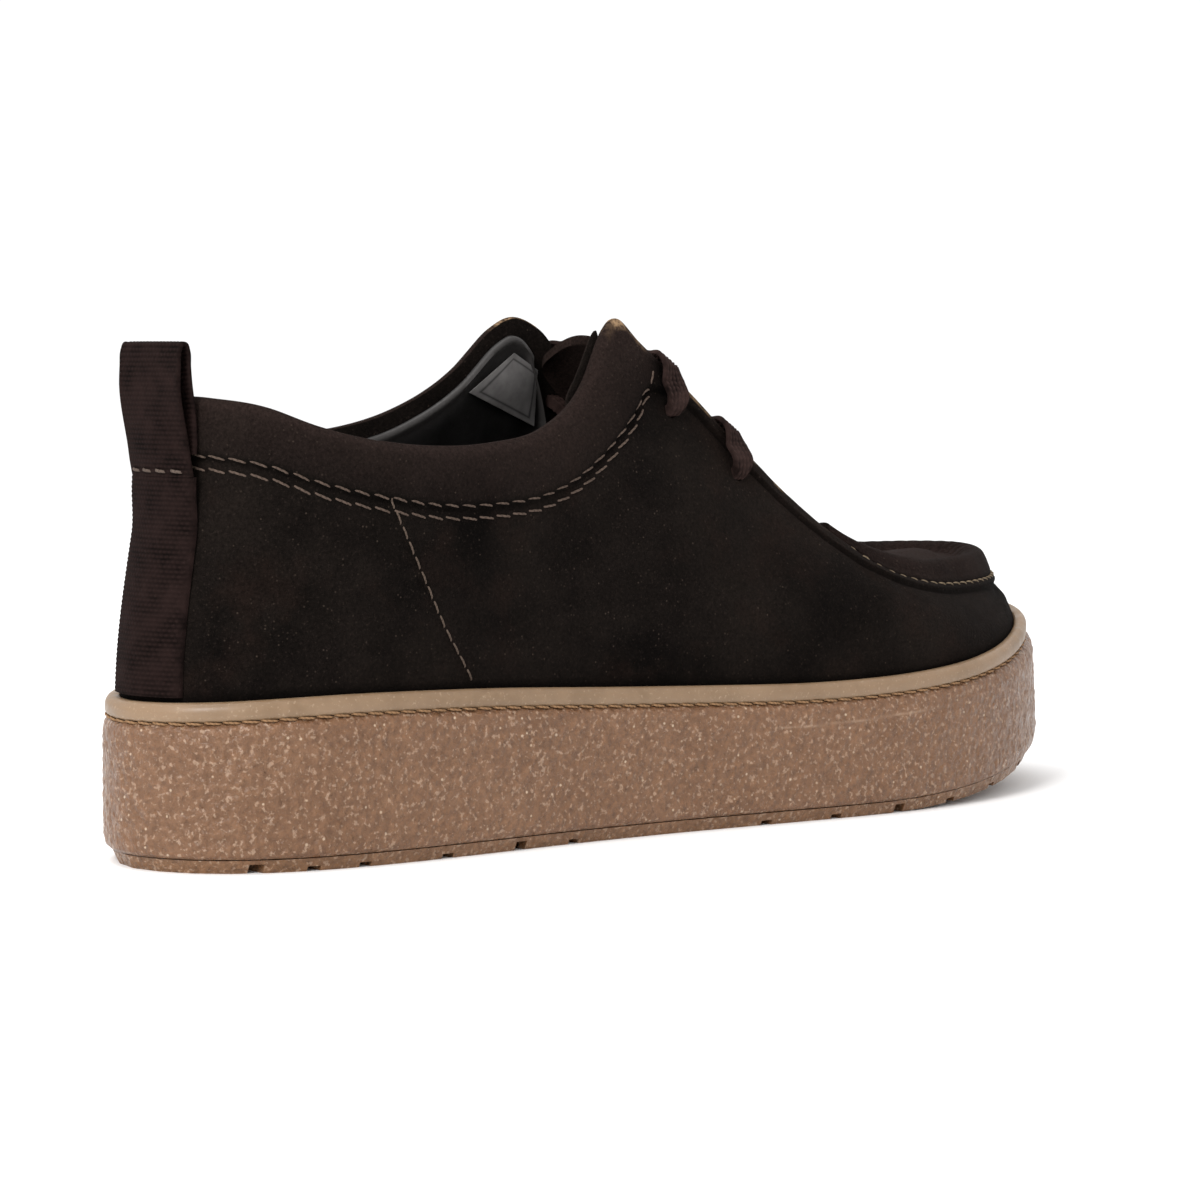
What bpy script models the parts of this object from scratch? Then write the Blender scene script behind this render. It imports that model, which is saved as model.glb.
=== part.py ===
"""A right-foot moccasin lace-up shoe on a thick crepe cup sole, modelled empty and standing.

The heel points along +Y, the toe along -Y, the outer (lateral) side along -X, and the floor is z = 0.
Every piece is worked out from one idea, the turn: a number that runs from 0 at the back of the heel,
along the lateral side to 1 at the toe, and back along the medial side to 2 at the heel again. The sole
outline gives a point and an outward direction for each turn, and the upper's section table gives the
top edge and the swell of the wall there. Lengths are metres.
"""
import math

import bmesh
import bpy
import numpy as np

# Driving sizes
SHOE_LENGTH = 0.300
BALL_WIDTH = 0.1015
BACK_HEIGHT = 0.1095
INSTEP_HEIGHT = 0.1278
TOE_SEAM_HEIGHT = 0.0600
CLEARANCE = 0.0003

# Sole
TREAD_THICKNESS = 0.0035
TREAD_INSET = 0.0030
TREAD_TOP_INSET = 0.0016
TOE_SPRING = 0.0135
SPRING_START = 0.66
TREAD_GROOVE_WIDTH = 0.0032
TREAD_GROOVE_DEPTH = 0.0022
CUP_WALL = 0.0040
CUP_HEEL_FLOOR = 0.0260
CUP_BALL_FLOOR = 0.0180
CUP_FALL_START = 0.28
CUP_FALL_END = 0.62
CUP_EDGE_ROUND = 0.0004
CUP_FOOT_ROUND = 0.0030
CUP_SHOULDER = 0.0040
TOE_LEAN = 0.0022
TOE_LEAN_FULL = 0.12
TOE_LEAN_END = 0.36
RIM_GROOVE_INSET = 0.0015
RIM_BAND_HEIGHT = 0.0048
RIM_BAND_SWELL = 0.0009
RIM_BAND_ROUND = 0.0016
INSOLE_THICKNESS = 0.0040
INSOLE_DISH = 0.0015

# Upper
UPPER_WALL = 0.0020
COLLAR_INNER_PAD = 0.0012
HOLE_DIAMETER = 0.0052
UPPER_STEP_RAMP = 0.0008
UPPER_EDGE_ROUND = 0.0012
SEAM_STEP = 0.009
PAD_STEP = 0.015
HOLE_DEPTH = 0.0115
HOLE_REACH = 0.0070
HOLE_TURNS = (0.490, 0.543)

# Apron and tongue
APRON_THICKNESS = 0.0022
APRON_RIDGE = 0.0039
APRON_START = 0.64
APRON_EDGE = 0.0011
APRON_SEAM_GAP = 0.0006
TONGUE_THICKNESS = 0.0022
TONGUE_TOP = 0.466
TONGUE_FRONT = 0.70
TONGUE_SIDE_DROP = 0.0055
TONGUE_SIDE_GAP = 0.0010
TONGUE_HIDDEN_NARROWING = 0.35
TONGUE_NARROW_START = 0.645
TONGUE_NARROW_SPAN = 0.05
TONGUE_CORNER = (1.0, 0.97, 0.88, 0.66)

# Webbing and lace
WEBBING_WIDTH = 0.0250
WEBBING_THICKNESS = 0.0015
WEBBING_GAP = 0.0005
STRAP_FOOT_GAP = 0.0012
LOOP_RISE = 0.0130
LOOP_BOW = 0.0034
PINCH_DROP = 0.0150
LACE_WIDTH = 0.0072
LACE_THICKNESS = 0.0015
LACE_HOLE_WIDTH = 0.0036
LACE_HOLE_THICKNESS = 0.0026
LACE_INSIDE_REACH = 0.0024
LACE_BAR_START = 0.0036

# Sole outline from above, as shares of the shoe length and of the ball width.
OUTLINE_COLUMNS = ("share", "lateral", "medial")
OUTLINE_ROWS = (
    (0.000, 0.000, 0.000),
    (0.012, 0.131, 0.131),
    (0.040, 0.234, 0.234),
    (0.090, 0.318, 0.313),
    (0.160, 0.364, 0.355),
    (0.250, 0.383, 0.369),
    (0.350, 0.392, 0.364),
    (0.450, 0.416, 0.369),
    (0.550, 0.458, 0.402),
    (0.650, 0.500, 0.453),
    (0.720, 0.514, 0.486),
    (0.800, 0.491, 0.495),
    (0.870, 0.421, 0.472),
    (0.930, 0.309, 0.402),
    (0.970, 0.187, 0.309),
    (0.992, 0.066, 0.206),
    (1.000, -0.074, 0.074),
)

# Height of the stitched groove round the cup, as a share of the back height, along the shoe.
GROOVE_COLUMNS = ("share", "height")
GROOVE_ROWS = (
    (0.00, 0.314),
    (0.12, 0.328),
    (0.25, 0.322),
    (0.40, 0.301),
    (0.50, 0.289),
    (0.60, 0.281),
    (0.70, 0.287),
    (0.80, 0.309),
    (0.87, 0.338),
    (0.93, 0.372),
    (0.97, 0.394),
    (1.00, 0.412),
)

# Cross grooves of the tread: place along the shoe, and depth as a share of the full groove depth.
TREAD_COLUMNS = ("share", "depth")
TREAD_ROWS = (
    (0.066, 1.00),
    (0.108, 0.55),
    (0.151, 0.55),
    (0.227, 0.55),
    (0.299, 1.00),
    (0.354, 0.55),
    (0.549, 0.55),
    (0.621, 0.55),
    (0.690, 1.00),
    (0.755, 0.55),
    (0.820, 0.55),
    (0.885, 1.00),
)

# Sections of the upper. turn: place round the shoe, counted from the heel on each side.
# share: top edge along the shoe length. half: top edge beside the centre line, over the ball width.
# height: top edge over the instep height. low: outward swell of the foot of the wall, flare: outward
# reach of its upper handle, both over the ball width. drop: the handle's fall, over the wall's rise.
# band: depth of the collar pad or seam lip below the edge, step: its thickness, both over the ball width.
SECTION_COLUMNS = ("turn", "share", "half", "height", "low", "flare", "drop", "band", "step")
LATERAL_ROWS = (
    (0.00, 0.048, 0.000, 0.857, -0.010, -0.004, 0.33, 0.122, 0.012),
    (0.06, 0.054, 0.126, 0.854, -0.004, 0.000, 0.33, 0.124, 0.013),
    (0.12, 0.084, 0.236, 0.836, 0.010, 0.008, 0.33, 0.124, 0.014),
    (0.16, 0.118, 0.289, 0.803, 0.026, 0.012, 0.33, 0.122, 0.015),
    (0.20, 0.163, 0.311, 0.778, 0.032, 0.014, 0.33, 0.122, 0.015),
    (0.25, 0.222, 0.323, 0.764, 0.036, 0.016, 0.33, 0.130, 0.015),
    (0.30, 0.280, 0.321, 0.768, 0.038, 0.018, 0.33, 0.137, 0.015),
    (0.35, 0.337, 0.303, 0.793, 0.040, 0.022, 0.33, 0.148, 0.015),
    (0.40, 0.392, 0.264, 0.876, 0.042, 0.030, 0.33, 0.184, 0.015),
    (0.43, 0.424, 0.233, 0.982, 0.042, 0.040, 0.32, 0.246, 0.014),
    (0.45, 0.440, 0.223, 1.000, 0.042, 0.046, 0.32, 0.224, 0.013),
    (0.47, 0.462, 0.223, 0.959, 0.042, 0.052, 0.31, 0.118, 0.011),
    (0.50, 0.503, 0.231, 0.884, 0.042, 0.060, 0.30, 0.048, 0.009),
    (0.55, 0.562, 0.250, 0.760, 0.038, 0.076, 0.28, 0.046, 0.009),
    (0.60, 0.617, 0.283, 0.642, 0.034, 0.088, 0.25, 0.048, 0.009),
    (0.65, 0.665, 0.325, 0.552, 0.030, 0.090, 0.22, 0.050, 0.009),
    (0.70, 0.712, 0.345, 0.492, 0.028, 0.086, 0.20, 0.048, 0.009),
    (0.75, 0.765, 0.335, 0.464, 0.022, 0.066, 0.19, 0.046, 0.009),
    (0.80, 0.817, 0.290, 0.457, 0.015, 0.046, 0.18, 0.044, 0.009),
    (0.84, 0.858, 0.244, 0.458, 0.006, 0.030, 0.16, 0.044, 0.009),
    (0.88, 0.894, 0.186, 0.461, -0.004, 0.016, 0.14, 0.044, 0.009),
    (0.92, 0.924, 0.114, 0.465, -0.006, 0.011, 0.12, 0.044, 0.009),
    (0.96, 0.945, 0.030, 0.468, -0.006, 0.009, 0.10, 0.044, 0.009),
    (1.00, 0.953, -0.056, 0.470, -0.006, 0.009, 0.10, 0.044, 0.009),
)
MEDIAL_ROWS = (
    (0.06, 0.054, 0.126, 0.854, -0.004, 0.000, 0.33, 0.124, 0.013),
    (0.12, 0.084, 0.232, 0.839, 0.010, 0.008, 0.33, 0.124, 0.014),
    (0.16, 0.118, 0.282, 0.811, 0.026, 0.012, 0.33, 0.122, 0.015),
    (0.20, 0.163, 0.303, 0.789, 0.032, 0.014, 0.33, 0.122, 0.015),
    (0.25, 0.222, 0.311, 0.779, 0.036, 0.016, 0.33, 0.130, 0.015),
    (0.30, 0.280, 0.307, 0.787, 0.038, 0.018, 0.33, 0.137, 0.015),
    (0.35, 0.337, 0.292, 0.822, 0.040, 0.022, 0.33, 0.148, 0.015),
    (0.40, 0.392, 0.258, 0.900, 0.042, 0.030, 0.33, 0.200, 0.015),
    (0.43, 0.428, 0.234, 0.984, 0.042, 0.040, 0.32, 0.246, 0.014),
    (0.45, 0.450, 0.222, 1.006, 0.042, 0.046, 0.32, 0.224, 0.013),
    (0.47, 0.477, 0.219, 0.982, 0.042, 0.052, 0.31, 0.118, 0.011),
    (0.50, 0.510, 0.225, 0.898, 0.042, 0.060, 0.30, 0.048, 0.009),
    (0.55, 0.563, 0.238, 0.770, 0.038, 0.072, 0.28, 0.046, 0.009),
    (0.60, 0.617, 0.261, 0.655, 0.034, 0.080, 0.25, 0.048, 0.009),
    (0.65, 0.665, 0.290, 0.562, 0.030, 0.084, 0.22, 0.050, 0.009),
    (0.70, 0.712, 0.309, 0.502, 0.028, 0.084, 0.20, 0.048, 0.009),
    (0.75, 0.765, 0.321, 0.474, 0.024, 0.070, 0.19, 0.046, 0.009),
    (0.80, 0.817, 0.317, 0.467, 0.019, 0.056, 0.18, 0.044, 0.009),
    (0.84, 0.858, 0.302, 0.467, 0.011, 0.044, 0.16, 0.044, 0.009),
    (0.88, 0.894, 0.269, 0.468, 0.002, 0.030, 0.14, 0.044, 0.009),
    (0.92, 0.924, 0.217, 0.469, -0.002, 0.019, 0.12, 0.044, 0.009),
    (0.96, 0.945, 0.142, 0.470, -0.005, 0.012, 0.10, 0.044, 0.009),
)

# Apron ridge: distance in from the seam over the ball width, rise over the ridge height, and how far
# the under face lies further in, over the apron's thickness.
RIDGE_COLUMNS = ("inset", "rise", "under")
RIDGE_ROWS = (
    (0.006, 0.00, 0.30),
    (-0.003, 0.30, 0.60),
    (0.002, 0.76, 0.30),
    (0.022, 1.00, 0.00),
    (0.062, 0.80, 0.00),
    (0.116, 0.44, 0.00),
)

# Crown of the bridge between the facings: height over the edges, over the ball width, and the share
# of the full ridge that the apron has there.
BRIDGE_COLUMNS = ("turn", "crown", "ridge")
BRIDGE_ROWS = (
    (0.40, -0.010, 0.20),
    (0.47, -0.010, 0.20),
    (0.55, -0.008, 0.20),
    (0.60, -0.004, 0.20),
    (0.65, 0.004, 0.34),
    (0.70, 0.018, 0.86),
    (0.78, 0.022, 1.00),
    (0.90, 0.022, 1.00),
    (1.00, 0.020, 1.00),
)

# Turns of the sections on one side: closer together where the edge climbs to the flap tip.
STATIONS = np.concatenate((
    np.linspace(0.00, 0.36, 13, endpoint=False),
    np.linspace(0.36, 0.52, 11, endpoint=False),
    np.linspace(0.52, 1.00, 17),
))
WALL_STEPS = (0.10, 0.24, 0.40, 0.57, 0.74)
COLORS = {
    "outsole": (0.36, 0.22, 0.13, 0.75),
    "midsole": (0.33, 0.21, 0.14, 0.80),
    "rim_band": (0.36, 0.26, 0.17, 0.55),
    "insole": (0.10, 0.10, 0.10, 0.70),
    "upper": (0.030, 0.022, 0.018, 0.95),
    "apron": (0.032, 0.023, 0.019, 0.95),
    "tongue": (0.035, 0.025, 0.020, 0.95),
    "backstrap": (0.040, 0.022, 0.018, 0.85),
    "pull_loop": (0.040, 0.022, 0.018, 0.85),
    "lace": (0.050, 0.028, 0.022, 0.80),
}


def hermite(knots, values, at):
    """Read a smooth curve through the rows of a table, whose slopes come from the neighbouring rows."""
    slopes = np.gradient(values, knots, axis=0)
    index = np.clip(np.searchsorted(knots, at, side="right") - 1, 0, len(knots) - 2)
    step = knots[index + 1] - knots[index]
    u = (at - knots[index]) / step
    rise = 3 * u ** 2 - 2 * u ** 3
    start = u ** 3 - 2 * u ** 2 + u
    end = u ** 3 - u ** 2
    if values.ndim > 1:
        step, rise, start, end = (part[:, None] for part in (step, rise, start, end))
    ends = (1 - rise) * values[index] + rise * values[index + 1]
    return ends + step * (start * slopes[index] + end * slopes[index + 1])


def column_of(columns, rows, name):
    """Return one named column of a table."""
    return np.array(rows)[:, columns.index(name)]


def read_table(columns, rows, name, at):
    """Read one named column of an open table at the places asked for."""
    knots = column_of(columns, rows, columns[0])
    return hermite(knots, column_of(columns, rows, name), np.asarray(at, float))


def around(knots, values, period, at):
    """Read a smooth closed curve at the places asked for."""
    wraps = 4
    long_knots = np.concatenate((knots[-wraps:] - period, knots, knots[:wraps] + period))
    long_values = np.concatenate((values[-wraps:], values, values[:wraps]))
    return hermite(long_knots, long_values, np.mod(np.asarray(at, float), period))


def outline_samples():
    """Walk the sole outline finely, and return its points, outward directions and turns."""
    share, lateral, medial = (column_of(OUTLINE_COLUMNS, OUTLINE_ROWS, name) for name in OUTLINE_COLUMNS)
    y = SHOE_LENGTH * (0.5 - share)
    middle = BALL_WIDTH * (lateral.max() - medial.max()) / 2
    lateral_side = np.column_stack((middle - BALL_WIDTH * lateral, y))
    medial_side = np.column_stack((middle + BALL_WIDTH * medial, y))
    points = np.vstack((lateral_side, medial_side[-2:0:-1]))
    lengths = np.linalg.norm(np.diff(np.vstack((points, points[:1])), axis=0), axis=1)
    knots = np.concatenate(([0.0], np.cumsum(lengths)))
    fine = np.linspace(0, knots[-1], 1600, endpoint=False)
    walk = around(knots[:-1], points, knots[-1], fine)
    tangent = np.roll(walk, -1, axis=0) - np.roll(walk, 1, axis=0)
    outward = np.column_stack((tangent[:, 1], -tangent[:, 0]))
    outward /= np.linalg.norm(outward, axis=1)[:, None]
    if np.sum(outward * (walk - walk.mean(axis=0))) < 0:
        outward = -outward
    run = np.concatenate(([0.0], np.cumsum(np.linalg.norm(np.diff(walk, axis=0), axis=1))))
    toe = int(np.argmin(walk[:, 1]))
    total = run[-1] + np.linalg.norm(walk[0] - walk[-1])
    turn = np.where(run <= run[toe], run / run[toe], 1 + (run - run[toe]) / (total - run[toe]))
    return walk, outward, turn


OUTLINE_POINTS, OUTLINE_OUTWARD, OUTLINE_TURNS = outline_samples()


def outline_at(turn, inset=0.0):
    """Return plan points of the outline moved in by an inset, and the outward directions there."""
    turn = np.mod(np.asarray(turn, float), 2.0)
    point = np.column_stack([
        np.interp(turn, OUTLINE_TURNS, OUTLINE_POINTS[:, axis], period=2.0) for axis in (0, 1)
    ])
    outward = np.column_stack([
        np.interp(turn, OUTLINE_TURNS, OUTLINE_OUTWARD[:, axis], period=2.0) for axis in (0, 1)
    ])
    outward /= np.linalg.norm(outward, axis=1)[:, None]
    return point - outward * np.reshape(inset, (-1, 1)), outward


def shoe_share(y):
    """Turn a Y place into a share of the shoe length from the heel."""
    return np.clip(0.5 - y / SHOE_LENGTH, 0.0, 1.0)


def spring(y):
    """Height of the tread's underside, which lifts towards the toe."""
    past = np.clip((shoe_share(y) - SPRING_START) / (1 - SPRING_START), 0.0, None)
    return TOE_SPRING * past ** 2


def groove_height(y):
    """Height of the stitched groove between the crepe wall and the rim band."""
    return BACK_HEIGHT * read_table(GROOVE_COLUMNS, GROOVE_ROWS, "height", shoe_share(y))


def cup_floor(y):
    """Height of the floor inside the cup: high at the heel, lower under the ball, then with the spring."""
    fall = np.clip((shoe_share(y) - CUP_FALL_START) / (CUP_FALL_END - CUP_FALL_START), 0.0, 1.0)
    ease = fall * fall * (3 - 2 * fall)
    return CUP_HEEL_FLOOR + (CUP_BALL_FLOOR - CUP_HEEL_FLOOR) * ease + spring(y)


def toe_lean(turn):
    """Distance that the toe of the sole leans back between its foot and its rim."""
    off = np.abs(np.mod(np.asarray(turn, float), 2.0) - 1.0)
    share = np.clip((TOE_LEAN_END - off) / (TOE_LEAN_END - TOE_LEAN_FULL), 0.0, 1.0)
    return TOE_LEAN * share * share * (3 - 2 * share)


def ring(turn, inset, height, lean=1.0):
    """Return 3-D points of an inset outline: a height from each point's Y place, and a share of the lean."""
    plan, _ = outline_at(turn, inset + lean * toe_lean(turn))
    return np.column_stack((plan, height(plan[:, 1])))


THROAT_NORMAL = np.array((0.0, -0.62, 0.78))
UPPER_INSET = CUP_WALL + CLEARANCE
INSOLE_INSET = UPPER_INSET + UPPER_WALL + CLEARANCE
TOE_REACH = 0.5
BACK_REACH = 0.4
LOW_HANDLE = 0.4
TURN_STEP = 0.004


def section(name, turn):
    """Read one column of the upper's sections round the whole shoe."""
    lateral_turns = column_of(SECTION_COLUMNS, LATERAL_ROWS, "turn")
    medial_turns = 2.0 - column_of(SECTION_COLUMNS, MEDIAL_ROWS, "turn")[::-1]
    lateral = column_of(SECTION_COLUMNS, LATERAL_ROWS, name)
    medial = column_of(SECTION_COLUMNS, MEDIAL_ROWS, name)[::-1]
    sign = -1.0 if name == "half" else 1.0
    knots = np.concatenate((lateral_turns, medial_turns))
    return around(knots, np.concatenate((sign * lateral, medial)), 2.0, turn)


def top_edge(turn):
    """Return the top edge of the upper: the collar, the flap tips, the facings and the toe seam."""
    turn = np.asarray(turn, float)
    x = BALL_WIDTH * section("half", turn)
    y = SHOE_LENGTH * (0.5 - section("share", turn))
    height = section("height", turn)
    toe_part = np.clip(1 - np.abs(turn - 1.0) / TOE_REACH, 0.0, 1.0)
    back_part = np.clip(1 - np.minimum(turn, 2.0 - turn) / BACK_REACH, 0.0, 1.0)
    heights = column_of(SECTION_COLUMNS, LATERAL_ROWS, "height")
    toe_scale = TOE_SEAM_HEIGHT / (heights[-1] * INSTEP_HEIGHT)
    back_scale = BACK_HEIGHT / (heights[0] * INSTEP_HEIGHT)
    z = INSTEP_HEIGHT * height
    z = z * (1 + (toe_scale - 1) * toe_part) * (1 + (back_scale - 1) * back_part)
    return np.column_stack((x, y, z))


def wall_base(turn):
    """Return where the visible wall of the upper rises out of the rim band."""
    plan, outward = outline_at(turn, UPPER_INSET + toe_lean(turn))
    z = groove_height(plan[:, 1]) + RIM_BAND_HEIGHT
    return np.column_stack((plan, z)), np.column_stack((outward, np.zeros(len(outward))))


def skin(turn, rise):
    """Return points of the upper's outer face. rise runs from 0 at the rim band to 1 at the top edge."""
    turn = np.asarray(turn, float)
    base, outward = wall_base(turn)
    edge = top_edge(turn)
    lift = np.zeros_like(edge)
    lift[:, 2] = edge[:, 2] - base[:, 2]
    low = base + LOW_HANDLE * lift + outward * BALL_WIDTH * section("low", turn)[:, None]
    drop = lift * section("drop", turn)[:, None]
    high = edge - drop + outward * BALL_WIDTH * section("flare", turn)[:, None]
    t = np.broadcast_to(np.asarray(rise, float), turn.shape)[:, None]
    first = (1 - t) ** 3 * base + 3 * (1 - t) ** 2 * t * low
    return first + 3 * (1 - t) * t ** 2 * high + t ** 3 * edge


def skin_normal(turn, rise):
    """Return the outward direction of the upper's outer face."""
    turn = np.asarray(turn, float)
    rise = np.broadcast_to(np.asarray(rise, float), turn.shape)
    low = np.clip(rise - TURN_STEP, 0.0, 1.0 - 2 * TURN_STEP)
    up = skin(turn, low + 2 * TURN_STEP) - skin(turn, low)
    along = skin(turn + TURN_STEP, rise) - skin(turn - TURN_STEP, rise)
    normal = np.cross(up, along)
    outward = outline_at(turn)[1]
    flip = np.where(np.sum(normal[:, :2] * outward, axis=1) < 0, -1.0, 1.0)
    return normal * (flip / np.linalg.norm(normal, axis=1))[:, None]


def rise_below_edge(turn, depth):
    """Return the rise that lies a given depth below the top edge, measured down the wall."""
    steps = np.linspace(1.0, 0.0, 81)
    points = np.stack([skin(turn, step) for step in steps])
    run = np.cumsum(np.linalg.norm(np.diff(points, axis=0), axis=2), axis=0)
    run = np.vstack((np.zeros((1, run.shape[1])), run))
    depth = np.broadcast_to(depth, (run.shape[1],))
    return np.array([np.interp(depth[i], run[:, i], steps) for i in range(run.shape[1])])


def clear_scene():
    """Remove the objects and materials that a new file starts with."""
    for item in list(bpy.data.objects):
        bpy.data.objects.remove(item, do_unlink=True)
    for item in list(bpy.data.materials):
        bpy.data.materials.remove(item)


def make_material(name):
    """Make the plain material of one piece."""
    red, green, blue, rough = COLORS[name]
    material = bpy.data.materials.new(name)
    material.use_nodes = True
    shader = material.node_tree.nodes["Principled BSDF"]
    shader.inputs["Base Color"].default_value = (red, green, blue, 1.0)
    shader.inputs["Roughness"].default_value = rough
    shader.inputs["Metallic"].default_value = 0.0
    return material


def add_solid(name, points, faces):
    """Make a mesh object from points and faces, with its faces turned out and round faces smoothed."""
    mesh = bpy.data.meshes.new(name)
    mesh.from_pydata([tuple(point) for point in points], [], faces)
    work = bmesh.new()
    work.from_mesh(mesh)
    bmesh.ops.triangulate(work, faces=work.faces, quad_method="BEAUTY", ngon_method="BEAUTY")
    bmesh.ops.recalc_face_normals(work, faces=work.faces)
    if work.calc_volume(signed=True) < 0:
        bmesh.ops.reverse_faces(work, faces=work.faces)
    work.to_mesh(mesh)
    work.free()
    mesh.shade_smooth()
    mesh.set_sharp_from_angle(angle=math.radians(40))
    mesh.materials.append(make_material(name))
    item = bpy.data.objects.new(name, mesh)
    bpy.context.scene.collection.objects.link(item)
    return item


def closed_loft(rings, wrap):
    """Join closed rings in order, and the last to the first when wrap is set. Return points and faces."""
    count = len(rings[0])
    points = np.vstack(rings)
    faces = []
    last = len(rings) if wrap else len(rings) - 1
    for row in range(last):
        here = row * count
        there = (row + 1) % len(rings) * count
        for i in range(count):
            j = (i + 1) % count
            faces.append((here + i, here + j, there + j, there + i))
    return points, faces


def add_deck(points, faces, first, count, crown, columns=3):
    """Close a ring with rows of faces across it. crown is the lift of the middle of each row."""
    grid = []
    for row in range(count // 2 + 1):
        a = first + row
        b = first + (count - row) % count
        line = [a]
        if a != b:
            for column in range(1, columns):
                share = column / columns
                point = points[a] * (1 - share) + points[b] * share
                point = point + np.array((0.0, 0.0, crown * 4 * share * (1 - share)))
                points.append(point)
                line.append(len(points) - 1)
            line.append(b)
        grid.append(line)
    for row in range(len(grid) - 1):
        one = grid[row]
        two = grid[row + 1]
        if len(one) == 1:
            faces.extend((one[0], two[i + 1], two[i]) for i in range(len(two) - 1))
        elif len(two) == 1:
            faces.extend((one[i], one[i + 1], two[0]) for i in range(len(one) - 1))
        else:
            faces.extend((one[i], one[i + 1], two[i + 1], two[i]) for i in range(len(one) - 1))


def all_turns():
    """Return the turns of every section round the shoe."""
    return np.concatenate((STATIONS, 2.0 - STATIONS[-2:0:-1]))


def add_capped_loft(name, rings, end_crown=0.0):
    """Make a solid from a stack of rings, with a flat deck below and a dished or flat one on top."""
    points, faces = closed_loft(rings, wrap=False)
    points = list(points)
    count = len(rings[0])
    add_deck(points, faces, 0, count, 0.0)
    add_deck(points, faces, (len(rings) - 1) * count, count, end_crown)
    return add_solid(name, points, faces)


def make_outsole():
    """Make the tread: a thin slab under the cup, crossed by grooves that leave the lugs between them."""
    turns = all_turns()
    rings = (
        ring(turns, TREAD_INSET, spring, lean=0.0),
        ring(turns, TREAD_TOP_INSET, lambda y: spring(y) + TREAD_THICKNESS - CLEARANCE, lean=0.0),
    )
    slab = add_capped_loft("outsole", rings)
    work = bmesh.new()
    shares = column_of(TREAD_COLUMNS, TREAD_ROWS, "share")
    depths = column_of(TREAD_COLUMNS, TREAD_ROWS, "depth")
    for share, depth in zip(shares, depths):
        y = SHOE_LENGTH * (0.5 - share)
        slope = (spring(y + TREAD_GROOVE_WIDTH) - spring(y - TREAD_GROOVE_WIDTH)) / (2 * TREAD_GROOVE_WIDTH)
        height = 2 * depth * TREAD_GROOVE_DEPTH
        made = bmesh.ops.create_cube(work, size=1.0)["verts"]
        bmesh.ops.scale(work, vec=(2 * BALL_WIDTH, TREAD_GROOVE_WIDTH, height), verts=made)
        for vert in made:
            vert.co.z += slope * vert.co.y + spring(y)
            vert.co.y += y
    mesh = bpy.data.meshes.new("tread_grooves")
    work.to_mesh(mesh)
    work.free()
    cutter = bpy.data.objects.new("tread_grooves", mesh)
    bpy.context.scene.collection.objects.link(cutter)
    cut(slab, cutter)
    return slab


def cut(item, cutter):
    """Take a hidden cutter out of a solid."""
    cutter.hide_render = True
    cutter.display_type = "WIRE"
    modifier = item.modifiers.new(cutter.name, "BOOLEAN")
    modifier.operation = "DIFFERENCE"
    modifier.solver = "EXACT"
    modifier.object = cutter


def make_midsole():
    """Make the crepe cup: its upright side wall, its rounded shoulder and the floor inside."""
    turns = all_turns()

    def underside(y):
        return spring(y) + TREAD_THICKNESS

    rings = (
        ring(turns, TREAD_TOP_INSET - CLEARANCE, underside, lean=0.0),
        ring(turns, CUP_EDGE_ROUND, lambda y: underside(y) + 0.27 * CUP_FOOT_ROUND, lean=0.0),
        ring(turns, 0.0, lambda y: underside(y) + CUP_FOOT_ROUND, lean=0.0),
        ring(turns, 0.0, lambda y: groove_height(y) - CUP_SHOULDER, lean=0.45),
        ring(turns, CUP_EDGE_ROUND, lambda y: groove_height(y) - 0.35 * CUP_SHOULDER, lean=0.75),
        ring(turns, RIM_GROOVE_INSET, groove_height),
        ring(turns, CUP_WALL, groove_height),
        ring(turns, CUP_WALL, cup_floor),
    )
    return add_capped_loft("midsole", rings)


def make_rim_band():
    """Make the smooth band that lies on the cup's wall and holds the foot of the upper."""
    turns = all_turns()

    def above_groove(share):
        return lambda y: groove_height(y) + CLEARANCE + share * (RIM_BAND_HEIGHT - CLEARANCE)

    swell = RIM_GROOVE_INSET - RIM_BAND_SWELL
    rings = (
        ring(turns, RIM_GROOVE_INSET, above_groove(0.0)),
        ring(turns, swell, above_groove(0.20)),
        ring(turns, swell, above_groove(0.58)),
        ring(turns, swell + 0.38 * RIM_BAND_ROUND, above_groove(0.86)),
        ring(turns, swell + RIM_BAND_ROUND, above_groove(1.0)),
        ring(turns, CUP_WALL, above_groove(0.97)),
        ring(turns, CUP_WALL, above_groove(0.0)),
    )
    points, faces = closed_loft(rings, wrap=True)
    return add_solid("rim_band", points, faces)


def make_insole():
    """Make the footbed that lies on the cup's floor inside the upper."""
    turns = all_turns()
    rings = (
        ring(turns, INSOLE_INSET, lambda y: cup_floor(y) + CLEARANCE),
        ring(turns, INSOLE_INSET, lambda y: cup_floor(y) + INSOLE_THICKNESS),
    )
    return add_capped_loft("insole", rings, -INSOLE_DISH)


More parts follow.
